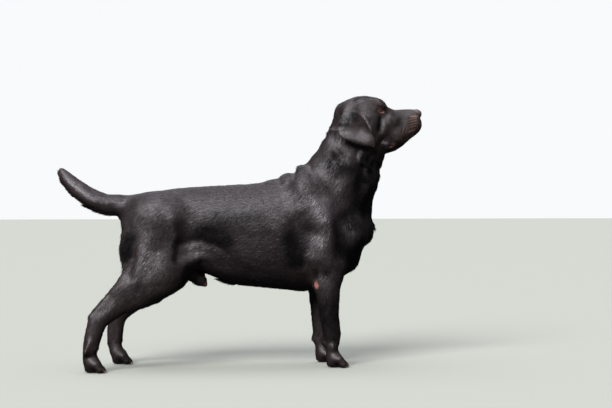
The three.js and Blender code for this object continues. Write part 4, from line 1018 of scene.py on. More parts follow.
def make_skin():
    """The skin with all its fine forms, and the mouth's line."""
    mesh = rounded_skin()
    mouth = Mouth()
    mesh = refined(mesh, lambda points: near_eyes(points, FINE["once"]) | mouth.near(points, MOUTH["reach"]))
    mesh = refined(mesh, lambda points: near_eyes(points, FINE["twice"]))
    surface = Surface(mesh)
    calm_steps(surface)
    flare_ears(surface)
    fine = near_eyes(surface.points, FINE["blurred"])
    fine = fine | mouth.near(surface.points, MOUTH["reach"] + FINE["past_mouth"])
    surface.points = surface.blurred(surface.points, FINE["rounds"], fine * FINE["strength"])
    tree = surface.tree()
    surface.directions = surface.blurred(surface.normals(), 4)
    for path, height, width in MARKS.values():
        mark_skin(surface, tree, path, height, width)
    cut_mouth(surface, mouth)
    for eye in EYES:
        shape_lids(surface, eye)
    sink_under_nose(surface)
    surface.points[:, 2] = np.maximum(surface.points[:, 2], LOWEST)
    write_points(mesh, surface.points)
    mesh.shade_smooth()
    return surface, mouth


def bareness(surface, mouth):
    """How bare the skin is at each point, and how pink: both from 0 to 1."""
    points = surface.points
    bare, pink = np.zeros(len(points)), np.zeros(len(points))
    for eye in EYES:
        near = np.linalg.norm(points - eye.centre, axis=1) < BARE_LID["near"] * MM
        rim = eased((eye.opening(points) + BARE_LID["from"]) / BARE_LID["over"]) * near
        bare = np.maximum(bare, rim)
        pink = np.maximum(pink, rim * eye.towards_haw(points, *PINK_AROUND) * BARE_LID["pink"])
    lip = bell(mouth.beside(points) - LIP["at"], LIP["width"]) * mouth.open(points)
    bare = np.maximum(bare, lip)
    corner = np.linalg.norm(mirrored(points) - mouth.corner, axis=1)
    pink = np.maximum(pink, lip * (LIP["tint"] + (1 - LIP["tint"]) * bell(corner, LIP["corner"] * MM)))
    for i, _, _, gap in beside_nose(points):
        bare[i] = max(bare[i], eased(NOSE_EDGE["bare"] - gap / (NOSE_EDGE["over"] * MM)))
    for middle, radii, nakedness, pinkness in SPOTS.values():
        inside = eased((SPOT_EDGE["at"] - away_from(points, middle, radii)) / SPOT_EDGE["over"])
        bare = np.maximum(bare, nakedness * inside)
        pink = np.maximum(pink, pinkness * inside)
    facing = eased(-surface.normals()[:, 2] / SOLE["facing"])
    sole = eased((SOLE["height"] * MM - points[:, 2]) / (SOLE["over"] * MM)) * facing
    return np.maximum(bare, sole), pink


# ---------------------------------------------------------------- the coat

class Waves:
    """Smooth noise: a sum of waves of about one length in random directions."""

    def __init__(self, random, length, count=10):
        ways = unit(random.normal(size=(count, 3)))
        self.waves = ways.T * (2 * math.pi / (length * random.uniform(0.7, 1.4, count)))
        self.start = random.uniform(0, 2 * math.pi, count)

    def __call__(self, points):
        return np.sin(points @ self.waves + self.start).sum(axis=1) / math.sqrt(len(self.start) / 2)


def guided(points, normals):
    """The lie of the coat at each point of the skin: its direction, length in metres and warmth, or shade."""
    places = np.array([place for place, *_ in LIE.values()], float) * MM
    ways = unit(np.array([way for _, way, *_ in LIE.values()], float))
    rest = np.array([(length * MM, warmth_and_shade) for *_, length, warmth_and_shade in LIE.values()])
    side = np.where(points[:, 1] < 0, -1.0, 1.0)
    half = mirrored(points)
    way, values = np.empty((len(points), 3)), np.empty((len(points), 2))
    for start in range(0, len(points), AT_ONCE):
        part = slice(start, start + AT_ONCE)
        gaps = ((half[part, None] - places[None]) ** 2).sum(axis=2)
        weight = 1 / (gaps + LIE_BLUR**2) ** 2
        weight /= weight.sum(axis=1, keepdims=True)
        way[part], values[part] = weight @ ways, weight @ rest
    way[:, 1] *= side
    way = unit(way - (way * normals).sum(axis=1, keepdims=True) * normals)
    return way, values[:, 0], values[:, 1]


def turned(vectors, axes, angles):
    """Vectors that stand square to their axes, turned about them."""
    angles = angles[:, None]
    return vectors * np.cos(angles) + np.cross(axes, vectors) * np.sin(angles)


class Roots(SimpleNamespace):
    """Places on the skin where tufts grow, with all that a tuft needs to know, each as an array."""

    def __len__(self):
        return len(self.place)

    def taken(self, chosen):
        """Some of the roots."""
        return Roots(**{name: values[chosen] for name, values in vars(self).items()})


def scattered(surface, random, paint):
    """Roots spread evenly over the skin, closer together where the hair is short."""
    mesh = surface.mesh
    mesh.calc_loop_triangles()
    corners = read(mesh.loop_triangles, "vertices", 3, np.int32)
    a, b, c = (surface.points[corners[:, k]] for k in range(3))
    area = np.linalg.norm(np.cross(b - a, c - a), axis=1) / 2
    middle = (a + b + c) / 3
    normals = surface.normals()
    _, length, _ = guided(middle, unit(normals[corners].sum(axis=1)))
    fine = eased((length / MM - TUFTS["face_hair"]) / (TUFTS["body_hair"] - TUFTS["face_hair"]))
    spacing = (TUFTS["face_spacing"] + (TUFTS["spacing"] - TUFTS["face_spacing"]) * fine) * MM
    wanted = area / spacing**2
    count = np.floor(wanted + random.uniform(size=len(wanted))).astype(int)
    owner = np.repeat(np.arange(len(count)), count)
    u, v = random.uniform(size=(2, len(owner)))
    over = u + v > 1
    u, v = np.where(over, 1 - u, u), np.where(over, 1 - v, v)
    share = np.column_stack([1 - u - v, u, v])

    def at(values):
        """The values at the roots, from those at the corners of their faces."""
        picked = values[corners[owner]]
        return (picked * share.reshape(*share.shape, *[1] * (picked.ndim - 2))).sum(axis=1)

    place, normal = at(surface.points), unit(at(normals))
    way, length, warmth_and_shade = guided(place, normal)
    painted_on = {name: at(paint[name]) for name in ("bare", "shade", "tan")}
    still = np.zeros(len(place))
    return Roots(
        place=place, normal=normal, way=way, length=length, warmth_and_shade=warmth_and_shade, strand=still, ruffle=still,
        **painted_on,
    )


def combed(roots, random):
    """The roots with their hair gathered in strands and a little unruly."""
    swirl = sum(Waves(random, wide * MM)(roots.place) * turn for wide, turn in COMB["swirls"])
    angles = np.radians(swirl + random.normal(size=len(roots)) * COMB["unruly"])
    roots.way = turned(roots.way, roots.normal, angles)
    patches = 1 + COMB["uneven"] * Waves(random, COMB["patches"] * MM)(roots.place)
    roots.length = roots.length * patches * random.uniform(*COMB["lengths"], len(roots))
    along = (roots.place * roots.way).sum(axis=1)[:, None]
    drawn_out = roots.place - STRANDS["drawn_out"] * along * roots.way
    roots.strand = Waves(random, STRANDS["wide"] * MM, STRANDS["waves"])(drawn_out)
    roots.ruffle = Waves(random, STRANDS["wide"] * MM, STRANDS["waves"])(drawn_out)
    return roots


def tuft_start(roots, lift, lifts, most, random):
    """What tufts begin with: their sides' direction, widths, how they rise, and where their roots are."""
    side = np.cross(roots.normal, roots.way)
    width = np.clip(roots.length * TUFTS["share"], TUFTS["least"] * MM, most * MM)[:, None]
    rise = np.radians(lift * random.uniform(*lifts, len(roots)))[:, None]
    return side, width, rise, roots.place - roots.normal * TUFTS["sunk"] * MM


def ring(at, side, up, wide):
    """The three corners of a tuft's section."""
    return [at - side * wide / 2, at + side * wide / 2, at + up * wide * TUFTS["height"]]


def tuft_normals(roots, side, spread, random):
    """The skin's normals, spread across each tuft, a little tilted, and leaning from strand to strand."""
    tilt = random.normal(size=(len(roots), 1, 3)) * TUFTS["tilt"]
    spread = TUFTS["spread"] * np.array(spread)[None, :, None] * side[:, None]
    forward = STRANDS["forward"] + roots.ruffle * STRANDS["pitch"]
    lean = side * roots.strand[:, None] * STRANDS["roll"] + roots.way * forward[:, None]
    # Where shade is painted the normals lean down, away from the light; where a sheen is painted, towards it.
    lean = lean + np.maximum(-roots.shade, 0)[:, None] * SHADE_LEAN["dark"]
    lean = lean + np.maximum(roots.shade, 0)[:, None] * SHADE_LEAN["painted_sheen"]
    return unit(roots.normal[:, None] + spread + tilt + lean[:, None])


def spikes(roots, lift, random):
    """Solid tufts with four faces each: points, triangles, bake places, normals and heights along them."""
    side, width, rise, base = tuft_start(roots, lift, TUFTS["lifts"], TUFTS["most"], random)
    tip = base + roots.length[:, None] * (roots.way * np.cos(rise) + roots.normal * np.sin(rise))
    left, right, top = ring(base, side, roots.normal, width)
    points = np.stack([left, right, top + roots.way * width * TUFTS["forward"], tip], axis=1)
    faces = np.array([(0, 2, 1), (0, 3, 2), (2, 3, 1), (1, 3, 0)])
    shape = np.array([(-0.5, -0.5), (0.5, -0.5), (0, -0.2), (0, 0.5)])
    normals = tuft_normals(roots, side, [-1, 1, 0, 0], random)
    return points, faces, shape, normals, np.array([0, 0, 0.25, 1.0])


def locks(roots, lift, random):
    """The same for longer tufts with ten faces each, which bend down to the body on their way."""
    most = LOCKS["wider"] * TUFTS["most"]
    side, width, rise, base = tuft_start(roots, lift, LOCKS["lifts"], most, random)
    long = roots.length[:, None]
    sway = side * random.normal(size=(len(roots), 1)) * LOCKS["sway"]
    middle = base + long * 0.5 * (roots.way * np.cos(rise) + roots.normal * np.sin(rise))
    late = rise * random.uniform(*LOCKS["late"], (len(roots), 1))
    tip = middle + long * 0.5 * (unit(roots.way + sway) * np.cos(late) + roots.normal * np.sin(late))
    first = ring(base, side, roots.normal, width)
    second = ring(middle, side, roots.normal, width * LOCKS["middle"])
    points = np.stack([*first, *second, tip], axis=1)
    faces = [(0, 2, 1)]
    for a, b in ((0, 2), (2, 1), (1, 0)):
        faces += [(a, a + 3, b + 3), (a, b + 3, b), (a + 3, 6, b + 3)]
    shape = np.array([(-0.5, -0.5), (0.5, -0.5), (0, -0.3), (-0.4, 0), (0.4, 0), (0, 0.1), (0, 0.5)])
    normals = tuft_normals(roots, side, [-1, 1, 0, -1, 1, 0, 0], random)
    return points, np.array(faces), shape, normals, np.array([0, 0, 0.2, 0.5, 0.5, 0.6, 1.0])


def unwrapped(place, normal):
    """Each root's place on its piece's bake map: the skin seen square on from six sides, in six tiles."""
    axis = np.abs(normal).argmax(axis=1)
    row = np.arange(len(place))
    tile = axis * 2 + (normal[row, axis] > 0)
    low, high = place.min(axis=0), place.max(axis=0)
    scaled = (place - low) / max((high - low).max(), 1e-6)
    first, second = np.array([1, 0, 0])[axis], np.array([2, 2, 1])[axis]
    within = np.column_stack([scaled[row, first], scaled[row, second]])
    tiles, margin = BAKE["tiles"], BAKE["margin"]
    corner = np.column_stack([tile % tiles[0], tile // tiles[0]]) / tiles
    return corner + (margin + (1 - 2 * margin) * within) / tiles


def coat_piece(name, roots, shaped, lift, random):
    """One mesh of tufts, with the values for its colours, its bake map and normals that follow the skin's."""
    points, faces, shape, normals, along = shaped(roots, lift, random)
    points[..., 2] = np.maximum(points[..., 2], LOWEST)
    count, each = points.shape[:2]
    corners = (faces[None] + (np.arange(count) * each)[:, None, None]).reshape(-1, 3)
    mesh = mesh_of(name, points.reshape(-1, 3), corners)
    tone = TONE["range"] * random.uniform(size=count) + TONE["least"] + TONE["strand"] * roots.ruffle
    tone = np.clip(tone, 0, 1)[:, None]
    # Tone rises towards each tip, so the roots are painted darker, as the shade deep in the coat.
    attribute(mesh, "tone", (TONE["tuft"] * tone + TONE["tip"] * along).ravel())
    attribute(mesh, "bare", np.repeat(roots.bare * TUFTS["bareness"], each))
    for field in ("warmth_and_shade", "shade", "tan"):
        attribute(mesh, field, np.repeat(getattr(roots, field), each))
    bake = unwrapped(roots.place, roots.normal)[:, None] + shape[None] * BAKE["patch"]
    layer = mesh.uv_layers.new(name="OFBake")
    layer.uv.foreach_set("vector", bake.reshape(-1, 2)[corners.ravel()].astype(np.float32).ravel())
    mesh.normals_split_custom_set_from_vertices(normals.reshape(-1, 3))
    return new_object(name, mesh)


def parted(roots, limit):
    """The roots cut into runs along the dog, each within a limit."""
    order = np.argsort(roots.place[:, 0], kind="stable")
    return [roots.taken(part) for part in np.array_split(order, math.ceil(len(order) / limit))]


def make_coat(surface, paint, random):
    """The coat's pieces: short tufts all over, and longer locks at the places of the fringe."""
    roots = scattered(surface, random, paint)
    roots = combed(roots.taken(roots.bare < random.uniform(*TUFTS["bare"], len(roots))), random)
    right = roots.place[:, 1] < 0
    for side, chosen in (("right", right), ("left", ~right)):
        for number, part in enumerate(parted(roots.taken(chosen), PIECE_LIMIT), 1):
            yield coat_piece(f"coat_{side}_{number}", part, spikes, TUFTS["lift"], random)
    for name, (middle, radii, facing, count, length, lift) in FRINGE.items():
        inside = away_from(roots.place, middle, radii) < 1
        near = np.flatnonzero(inside & (roots.normal @ facing > 0.1))
        chosen = roots.taken(random.choice(near, min(count, len(near)), replace=False))
        chosen.length = length * MM * random.uniform(*LOCKS["lengths"], len(chosen))
        yield coat_piece(f"fringe_{name}", chosen, locks, lift, random)


# ---------------------------------------------------------------- eyes, lids, nose and whiskers

def eyeball(eye):
    """The ball with its bulging cornea, in rings about the gaze. "polar" is the angle from the gaze."""
    rings, sectors = EYEBALL["rings"], EYEBALL["sectors"]
    each = [1] + [sectors] * (rings - 1) + [1]
    polar = np.radians(180 * (np.arange(rings + 1) / rings) ** EYEBALL["crowd"])
    turn = np.linspace(0, 2 * math.pi, sectors, endpoint=False)
    bulge = EYEBALL["bulge"] * (1 - np.clip(np.degrees(polar) / EYEBALL["cornea"], 0, 1) ** 2) ** 2
    radius = eye.radius + (bulge - EYEBALL["inset"]) * MM
    inner = polar[1:-1, None]
    spread = np.sin(inner)[..., None] * (np.cos(turn)[:, None] * eye.inwards + np.sin(turn)[:, None] * eye.up)
    ways = (np.cos(inner)[..., None] * eye.gaze + spread).reshape(-1, 3)
    points = np.vstack([eye.gaze, ways, -eye.gaze]) * np.repeat(radius, each)[:, None]
    faces = []
    last = len(points) - 1
    for k in range(sectors):
        follow = (k + 1) % sectors
        faces.append((0, 1 + k, 1 + follow))
        for ring in range(rings - 2):
            a, b = 1 + ring * sectors + k, 1 + ring * sectors + follow
            faces += [(a, a + sectors, b + sectors), (a, b + sectors, b)]
        faces.append((last, last - sectors + follow, last - sectors + k))
    faces = np.array(faces)
    if np.cross(eye.inwards, eye.up) @ eye.gaze < 0:
        faces = faces[:, ::-1]
    mesh = mesh_of(f"eyeball_{eye.side}", eye.centre + points, faces)
    angle = np.degrees(np.repeat(polar, each))
    attribute(mesh, "polar", angle)
    around = np.concatenate([[0], np.tile(turn, rings - 1), [0]])
    attribute(mesh, "fibre", np.column_stack([np.cos(around), np.sin(around), angle / 90]))
    return new_object(mesh.name, mesh)


def haw_shell(eye):
    """The haw: a shell between the lids in the inner corner, domed over the ball."""
    ball, half = eye.radius / MM, EYE["width"] / 2
    u, v = np.meshgrid(np.linspace(0, 1, HAW["columns"]), np.linspace(-1, 1, HAW["rows"]))
    start = half * (HAW["edge"] + HAW["curve"] * v**2)
    inwards = start + (half * HAW["end"] - start) * u
    upper, lower = eye.lids(inwards)
    up = np.where(v > 0, upper * v, -lower * v)
    dome = 0.3 + 0.7 * np.sin(math.pi * np.clip(u * 0.9 + 0.1, 0, 1))
    front = eye.placed(inwards, up, ball + HAW["over"] * dome)
    back = eye.placed(inwards, up, np.full_like(up, ball - HAW["under"]))
    return sheet_between(front, back, eye)


def lid_rim(eye):
    """The bare, moist edges of both lids, with the haw and the pink flesh in the inner corner."""
    ball, half = eye.radius / MM, EYE["width"] / 2
    turn = np.linspace(0, 2 * math.pi, RIM["steps"], endpoint=False)
    inwards = half * np.cos(turn)
    upper, lower = eye.lids(inwards)
    up = np.where(np.sin(turn) > 0, upper, lower)
    edge = eye.placed(inwards, up, ball + RIM["over"])
    closed = np.vstack([edge, edge[:2]])
    rim = tube(closed, RIM["radius"] * MM, RIM["sides"])
    pink = np.repeat(eye.towards_haw(closed, *PINK_RIM), RIM["sides"])
    haw = haw_shell(eye)
    corner = np.array([half - BEAD["before_corner"]]), np.array([BEAD["up"]])
    way = unit(eye.placed(*corner, ball) - eye.centre)[0]
    bead = orb(eye.centre + way * (ball + BEAD["over"]) * MM, BEAD["radius"] * MM)
    obj = joined(f"lids_{eye.side}", [rim, haw, bead])
    pink = np.concatenate([pink, [0, 0], np.ones(len(haw[0])), np.full(len(bead[0]), 0.9)])
    attribute(obj.data, "pink", pink)
    return obj


def sheet_between(front, back, eye):
    """A closed thin shell between two grids of points."""
    rows, columns = front.shape[:2]
    count = rows * columns
    points = np.vstack([front.reshape(-1, 3), back.reshape(-1, 3)])
    faces = []
    for i in range(rows - 1):
        for j in range(columns - 1):
            a = i * columns + j
            b, c, d = a + 1, a + columns + 1, a + columns
            faces += [(a, b, c), (a, c, d)]
            faces += [(a + count, c + count, b + count), (a + count, d + count, c + count)]
    rim = [*range(columns)] + [i * columns + columns - 1 for i in range(1, rows)]
    rim += [(rows - 1) * columns + j for j in range(columns - 2, -1, -1)]
    rim += [i * columns for i in range(rows - 2, 0, -1)]
    for k, a in enumerate(rim):
        b = rim[(k + 1) % len(rim)]
        faces += [(a, a + count, b + count), (a, b + count, b)]
    faces = np.array(faces)
    a, b, c = (points[faces[0, k]] for k in range(3))
    if np.cross(b - a, c - a) @ eye.gaze < 0:
        faces = faces[:, ::-1]
    return points, faces


def orb(centre, radius, rings=8, sectors=12):
    """A small ball."""
    turn = np.linspace(0, math.pi, rings)
    path = centre + np.outer(-np.cos(turn), (0, 0, radius))
    return tube(path, np.maximum(np.sin(turn), 0.05) * radius, sectors)


def make_nose():
    """The nose leather, remeshed from its solid, with its edges rounded."""
    source = merged(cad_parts["nose"].data)
    grown = NOSE["grow"] * MM * read(source.vertex_normals, "vector")
    write_points(source, read(source.vertices, "co") + grown)
    mesh = remeshed(source, NOSE["voxel"] * MM)
    surface = Surface(mesh)
    smooth = surface.blurred(surface.points, NOSE["rounds"])
    surface.points = smooth + NOSE["kept"] * surface.blurred(surface.points - smooth, NOSE["rounds"])
    write_points(mesh, surface.points)
    mesh.shade_smooth()
    return new_object("nose_leather", mesh)


def whisker_roots():
    """Where whiskers grow and how long they are: on the rows of the pad, over the eye, on cheek and chin."""
    for path in PAD_ROWS:
        for point in curve_through(path, 5)[1:]:
            yield point - (0, 0, WHISKERS["below_row"]), WHISKERS["pad"]
    for point in WHISKERS["spots"]:
        yield np.array(point, float), WHISKERS["short"]


def whiskers(tree, random):
    """A thin tube for each whisker, on both sides."""
    run = np.linspace(0, 1, 7)[:, None]
    radii = WHISKERS["radius"] * MM * (1 - TAPER * run[:, 0])
    for sign in SIDES.values():
        for spot, length in whisker_roots():
            place, normal, _, _ = tree.find_nearest(spot * (1, sign, 1) * MM)
            place, normal = np.array(place), np.array(normal)
            long = length * MM * random.uniform(*WHISKERS["lengths"])
            unruly = random.normal(size=3) * WHISKERS["unruly"]
            back = unit(np.array(WHISKERS["back"]) * (1, sign, 1) + unruly)
            way = unit(normal * WHISKERS["out"] + back)
            bent = way * run + np.array(WHISKERS["droop"]) * run**2
            yield tube(place - normal * WHISKERS["rooted"] * MM + long * bent, radii, 4)


def lashes(random):
    """A thin tube for each lash of the upper lids."""
    run = np.linspace(0, 1, 5)[:, None]
    radii = LASHES["radius"] * MM * (1 - TAPER * run[:, 0])
    above, over = LASHES["root"]
    for eye in EYES:
        for inwards in np.linspace(LASHES["from"], LASHES["to"], LASHES["count"]) * EYE["width"] / 2:
            upper, _ = eye.lids(inwards)
            root = eye.placed(np.array([inwards]), np.array([upper + above]), eye.radius / MM + over)[0]
            way = np.array(LASHES["way"]) @ (eye.gaze, eye.up, eye.inwards)
            way = unit(way + random.normal(size=3) * LASHES["unruly"])
            long = LASHES["length"] * MM * random.uniform(*LASHES["lengths"])
            yield tube(root + long * (way * run - eye.up * LASHES["droop"] * run**2), radii, 4)


# ---------------------------------------------------------------- materials

class Nodes:
    """The node tree of a material or a world, with a short way to add nodes."""

    def __init__(self, owner):
        owner.use_nodes = True
        self.tree = owner.node_tree

    def node(self, kind, inputs=(), **settings):
        """A new node, with its settings and with values or links on its inputs."""
        node = self.tree.nodes.new(f"ShaderNode{kind}")
        for key, value in settings.items():
            setattr(node, key, value)
        for socket, value in dict(inputs).items():
            if isinstance(value, bpy.types.NodeSocket):
                self.tree.links.new(value, node.inputs[socket])
            else:
                node.inputs[socket].default_value = value
        return node


class Look(Nodes):
    """A material around one Principled shader, with short ways to add nodes."""

    def __init__(self, name, **sockets):
        self.material = bpy.data.materials.new(name)
        super().__init__(self.material)
        self.shader = self.tree.nodes["Principled BSDF"]
        for socket, value in sockets.items():
            self.shader.inputs[socket.replace("_", " ")].default_value = value

    def give(self, socket, value):
        """Links a value to the shader."""
        self.tree.links.new(value, self.shader.inputs[socket])

    def value(self, name):
        """A number that the mesh carries at each point."""
        return self.node("Attribute", attribute_name=name).outputs["Fac"]

    def place(self):
        """Where each point of the piece is."""
        return self.node("TexCoord").outputs["Object"]

    def math(self, operation, a, b):
        """The result of one sum."""
        return self.node("Math", {0: a, 1: b}, operation=operation).outputs[0]

    def noise(self, scale, detail=2, vector=None):
        """Soft patches."""
        inputs = {"Vector": vector or self.place(), "Scale": scale, "Detail": detail}
        return self.node("TexNoise", inputs).outputs["Fac"]

    def cells(self, scale):
        """How far each point is from the edge of its cell."""
        inputs = {"Vector": self.place(), "Scale": scale}
        return self.node("TexVoronoi", inputs, feature="DISTANCE_TO_EDGE").outputs["Distance"]

    def ramp(self, value, low, high, start=0.0, end=1.0):
        """From start to end while the value goes from low to high."""
        inputs = {"Value": value, "From Min": low, "From Max": high, "To Min": start, "To Max": end}
        return self.node("MapRange", inputs).outputs["Result"]

    def mixed(self, share, first, second):
        """The first colour with a share of the second."""
        return self.node("Mix", {0: share, 6: first, 7: second}, data_type="RGBA").outputs[2]

    def bumped(self, height, depth, strength=1.0, after=None):
        """The normal, tilted by small heights."""
        inputs = {"Height": height, "Distance": depth, "Strength": strength}
        if after is not None:
            inputs["Normal"] = after
        return self.node("Bump", inputs).outputs["Normal"]


def coat_colour(look, tone):
    """The coat's browns: dark to warm by place and in soft patches, paler tips, painted shade and sheen."""
    patches = look.ramp(look.noise(9, 3), 0.35, 0.7, -0.12, 0.22)
    warmth_and_shade = look.math("ADD", look.value("warmth_and_shade"), patches)
    brown = look.mixed(look.node("Clamp", {"Value": warmth_and_shade}).outputs[0], COOL, WARM)
    brown = look.mixed(look.ramp(tone, 0.1, 0.95, 0.0, 0.75), brown, PALE)
    # Painted shade: darker where the shade strokes or the warmth lie below zero.
    shade = look.math("ADD", look.value("shade"), look.math("MINIMUM", warmth_and_shade, 0))
    brown = look.mixed(look.ramp(shade, -0.8, 0.0, 0.95, 0.0), brown, PAINTED_SHADE)
    # Painted sheen: paler where the strokes lie above zero.
    brown = look.mixed(look.ramp(shade, 0.0, PAINTED_SHEEN_MOST, 0.0, 0.75), brown, PAINTED_SHEEN)
    return look.mixed(look.ramp(look.value("tan"), 0.0, 1.0, 0.0, 0.8), brown, TAN)


def hair_look():
    """The coat: smoother, and so shinier, where a sheen is painted on it, rougher where shade is painted."""
    look = Look("coat_hair", Specular_IOR_Level=0.58)
    colour = coat_colour(look, look.value("tone"))
    look.give("Roughness", look.ramp(look.value("shade"), -1.0, 1.0, 0.6, 0.4))
    look.give("Base Color", look.mixed(look.value("bare"), colour, BARE))
    return look.material


def skin_look():
    """The skin under the coat, and where it is bare, with pores."""
    look = Look("coat_skin", Specular_IOR_Level=0.5)
    bare = look.value("bare")
    fleck = look.noise(900, 3)
    colour = coat_colour(look, look.ramp(fleck, 0.3, 0.7, 0.1, 0.7))
    flesh = look.mixed(look.value("pink"), BARE, PINK)
    flesh = look.mixed(look.ramp(look.noise(260, 3), 0.35, 0.7, 0.0, 0.45), flesh, rgb(0.05, 0.026, 0.022))
    look.give("Base Color", look.mixed(bare, colour, flesh))
    look.give("Roughness", look.ramp(bare, 0, 1, 0.5, 0.36))
    pores = look.bumped(look.cells(420), 0.0002, 0.5)
    look.give("Normal", look.bumped(look.noise(700, 4), 0.0006, 0.6, pores))
    return look.material


def lid_look():
    """Moist flesh, dark or pink."""
    look = Look("lid_skin", Roughness=0.25, Specular_IOR_Level=0.6, Coat_Weight=0.5, Coat_Roughness=0.15)
    pink = look.mixed(look.noise(600, 3), rgb(0.42, 0.12, 0.09), rgb(0.6, 0.26, 0.2))
    look.give("Base Color", look.mixed(look.value("pink"), rgb(0.028, 0.016, 0.014), pink))
    look.give("Normal", look.bumped(look.noise(1500, 3), 0.0002, 0.5))
    return look.material


def eye_look():
    """Pupil, amber iris with fibres, its dark rim and the brownish white, by the angle from the gaze."""
    look = Look("eye", Roughness=0.06, Coat_Weight=1.0, Coat_Roughness=0.02, Specular_IOR_Level=0.5)
    polar = look.value("polar")
    streaks = look.noise(14, 3, look.node("Attribute", attribute_name="fibre").outputs["Vector"])
    iris = look.mixed(look.ramp(streaks, 0.3, 0.7), rgb(0.022, 0.0085, 0.003), rgb(0.080, 0.032, 0.010))
    iris = look.mixed(look.ramp(polar, EYEBALL["iris"] - 12, EYEBALL["iris"]), iris, rgb(0.014, 0.008, 0.006))
    white = look.mixed(look.noise(300, 3), rgb(0.33, 0.24, 0.2), rgb(0.5, 0.4, 0.35))
    white = look.mixed(look.ramp(polar, EYEBALL["iris"] + 1, 75), rgb(0.07, 0.04, 0.03), white)
    ball = look.mixed(look.ramp(polar, EYEBALL["iris"] - 0.5, EYEBALL["iris"] + 1.5), iris, white)
    pupil = look.ramp(polar, EYEBALL["pupil"] - 0.8, EYEBALL["pupil"] + 0.8)
    look.give("Base Color", look.mixed(pupil, rgb(0.002, 0.002, 0.002), ball))
    return look.material


def nose_look():
    """Nose leather: dark brown, pebbled, less than shiny, with painted shade in the pebbles' grooves."""
    look = Look("nose", Specular_IOR_Level=0.6, Coat_Weight=0.15, Coat_Roughness=0.3)
    pebbles = look.ramp(look.cells(640), 0.0, 0.35)
    leather = look.mixed(look.noise(120, 3), rgb(0.064, 0.040, 0.038), rgb(0.125, 0.084, 0.080))
    # The pebbles' grooves are painted darker: painted shade in the creases.
    look.give("Base Color", look.mixed(look.ramp(pebbles, 0, 1, 0.5, 0), leather, rgb(0.024, 0.013, 0.012)))
    look.give("Roughness", look.ramp(look.noise(400, 2), 0.3, 0.7, 0.34, 0.5))
    look.give("Normal", look.bumped(pebbles, 0.0003, 0.8))
    return look.material


def claw_look():
    """Horn with a grain along the claw."""
    look = Look("claw", Roughness=0.34, Specular_IOR_Level=0.5)
    stretched = look.node("Mapping", {"Vector": look.place(), "Scale": (120, 900, 900)}).outputs["Vector"]
    grain = look.noise(1, 3, stretched)
    look.give("Base Color", look.mixed(grain, rgb(0.020, 0.013, 0.010), rgb(0.075, 0.048, 0.036)))
    look.give("Normal", look.bumped(grain, 0.0002, 0.5))
    return look.material


def whisker_look():
    """Dark hair."""
    look = Look("whisker", Roughness=0.4)
    look.give("Base Color", look.mixed(look.noise(80, 2), rgb(0.012, 0.009, 0.008), rgb(0.05, 0.035, 0.03)))
    return look.material


# ---------------------------------------------------------------- camera, light and floor

def make_camera():
    """The camera, at the photograph's height, distance and angle."""
    turn = math.radians(CAMERA["turn"])
    data = bpy.data.cameras.new("camera")
    data.lens = CAMERA["lens"]
    data.sensor_width = 36
    data.clip_end = 100
    camera = bpy.data.objects.new("camera", data)
    x, y = CAMERA["over"]
    away = CAMERA["distance"]
    camera.location = (x - away * math.sin(turn), y - away * math.cos(turn), CAMERA["height"])
    camera.rotation_euler = (math.radians(90 - CAMERA["dip"]), 0, -turn)
    bpy.context.scene.collection.objects.link(camera)
    bpy.context.scene.camera = camera


def make_lights():
    """Two wide suns, and a dim studio around a bright backdrop."""
    for name, (place, width, power, colour) in LIGHTS.items():
        data = bpy.data.lights.new(name, "SUN")
        data.angle = math.radians(width)
        data.energy = power
        data.color = colour
        light = bpy.data.objects.new(name, data)
        light.rotation_euler = (-Vector(place)).to_track_quat("-Z", "Y").to_euler()
        bpy.context.scene.collection.objects.link(light)
    world = bpy.data.worlds.new("studio")
    nodes = Nodes(world)
    direction = nodes.node("TexCoord").outputs["Generated"]
    height = nodes.node("SeparateXYZ", {0: direction}).outputs["Z"]
    levels = {"Value": height, "To Min": STUDIO["walls"], "To Max": STUDIO["ceiling"]}
    glow = nodes.node("MapRange", levels, interpolation_type="SMOOTHSTEP").outputs["Result"]
    by_camera = nodes.node("LightPath").outputs["Is Camera Ray"]
    strength = nodes.node("Mix", {0: by_camera, 2: glow, 3: STUDIO["backdrop"]}).outputs[0]
    background = nodes.tree.nodes["Background"]
    background.inputs["Color"].default_value = STUDIO["colour"]
    nodes.tree.links.new(strength, background.inputs["Strength"])
    bpy.context.scene.world = world
    bpy.context.scene.view_settings.view_transform = "Standard"


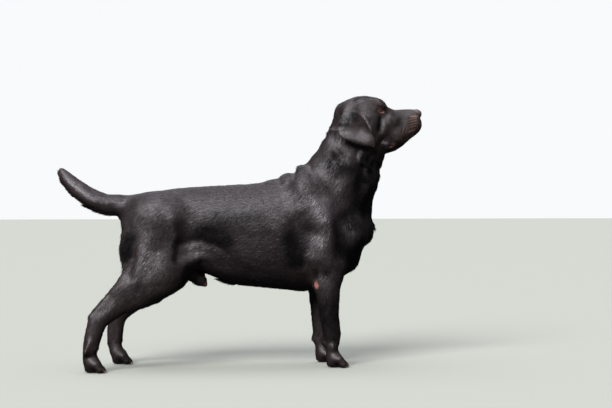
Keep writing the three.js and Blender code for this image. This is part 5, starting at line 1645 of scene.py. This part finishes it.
def make_floor():
    """A plain floor, which doesn't colour the dog's underside."""
    far = FLOOR["reach"]
    points = [(-far, -far, 0), (far, -far, 0), (far, far, 0), (-far, far, 0)]
    floor = new_object("floor", mesh_of("floor", points, [(0, 1, 2, 3)]))
    floor.data.materials.append(Look("floor", Base_Color=FLOOR["colour"], Roughness=1.0).material)
    floor.visible_glossy = False
    floor.visible_diffuse = False
    floor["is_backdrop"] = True


# ---------------------------------------------------------------- assembly

def placed(obj, material, slot, *nodes):
    """Dresses a piece and fixes it to the body, in place of the nodes that it stands for."""
    obj.data.materials.append(material)
    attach(obj, "root")
    if nodes:
        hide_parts(*nodes)
    return obj


def dress_claws(material):
    """Rounds the claws' solids and gives them horn."""
    for name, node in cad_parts.items():
        if "claw" in name:
            node.modifiers.new("joined", "WELD").merge_threshold = 1e-5
            smooth = node.modifiers.new("smooth", "SUBSURF")
            smooth.levels = smooth.render_levels = 2
            node.data.materials.clear()
            node.data.materials.append(material)


def corners(box):
    return [list(corner) for corner in box]


make_camera()
make_lights()
make_floor()
random = np.random.default_rng(SEED)
surface, mouth = make_skin()
bare, pink = bareness(surface, mouth)
_, _, warmth_and_shade = guided(surface.points, surface.normals())
tree = surface.tree()
paint = {"bare": bare, "pink": pink, "warmth_and_shade": warmth_and_shade}
# Painted shade in folds and undersides, and a painted sheen where the coat would catch the light.
paint["shade"] = painted(surface, tree, SHADES)
paint["tan"] = painted(surface, tree, TANS)
for name, values in paint.items():
    attribute(surface.mesh, name, values)
placed(new_object("skin", surface.mesh), skin_look(), "coat", *FLESH)
hair = hair_look()
for piece in make_coat(surface, paint, random):
    placed(piece, hair, "coat")
eye_material, lid_material = eye_look(), lid_look()
for eye in EYES:
    placed(eyeball(eye), eye_material, "eye", f"eye_{eye.side}")
    placed(lid_rim(eye), lid_material, "skin")
placed(make_nose(), nose_look(), "nose", "nose")
hairs = joined("whiskers", [*whiskers(tree, random), *lashes(random)])
placed(hairs, whisker_look(), "coat")
dress_claws(claw_look())

{"cad": corners(CAD_BOX), "visual": corners(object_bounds())}
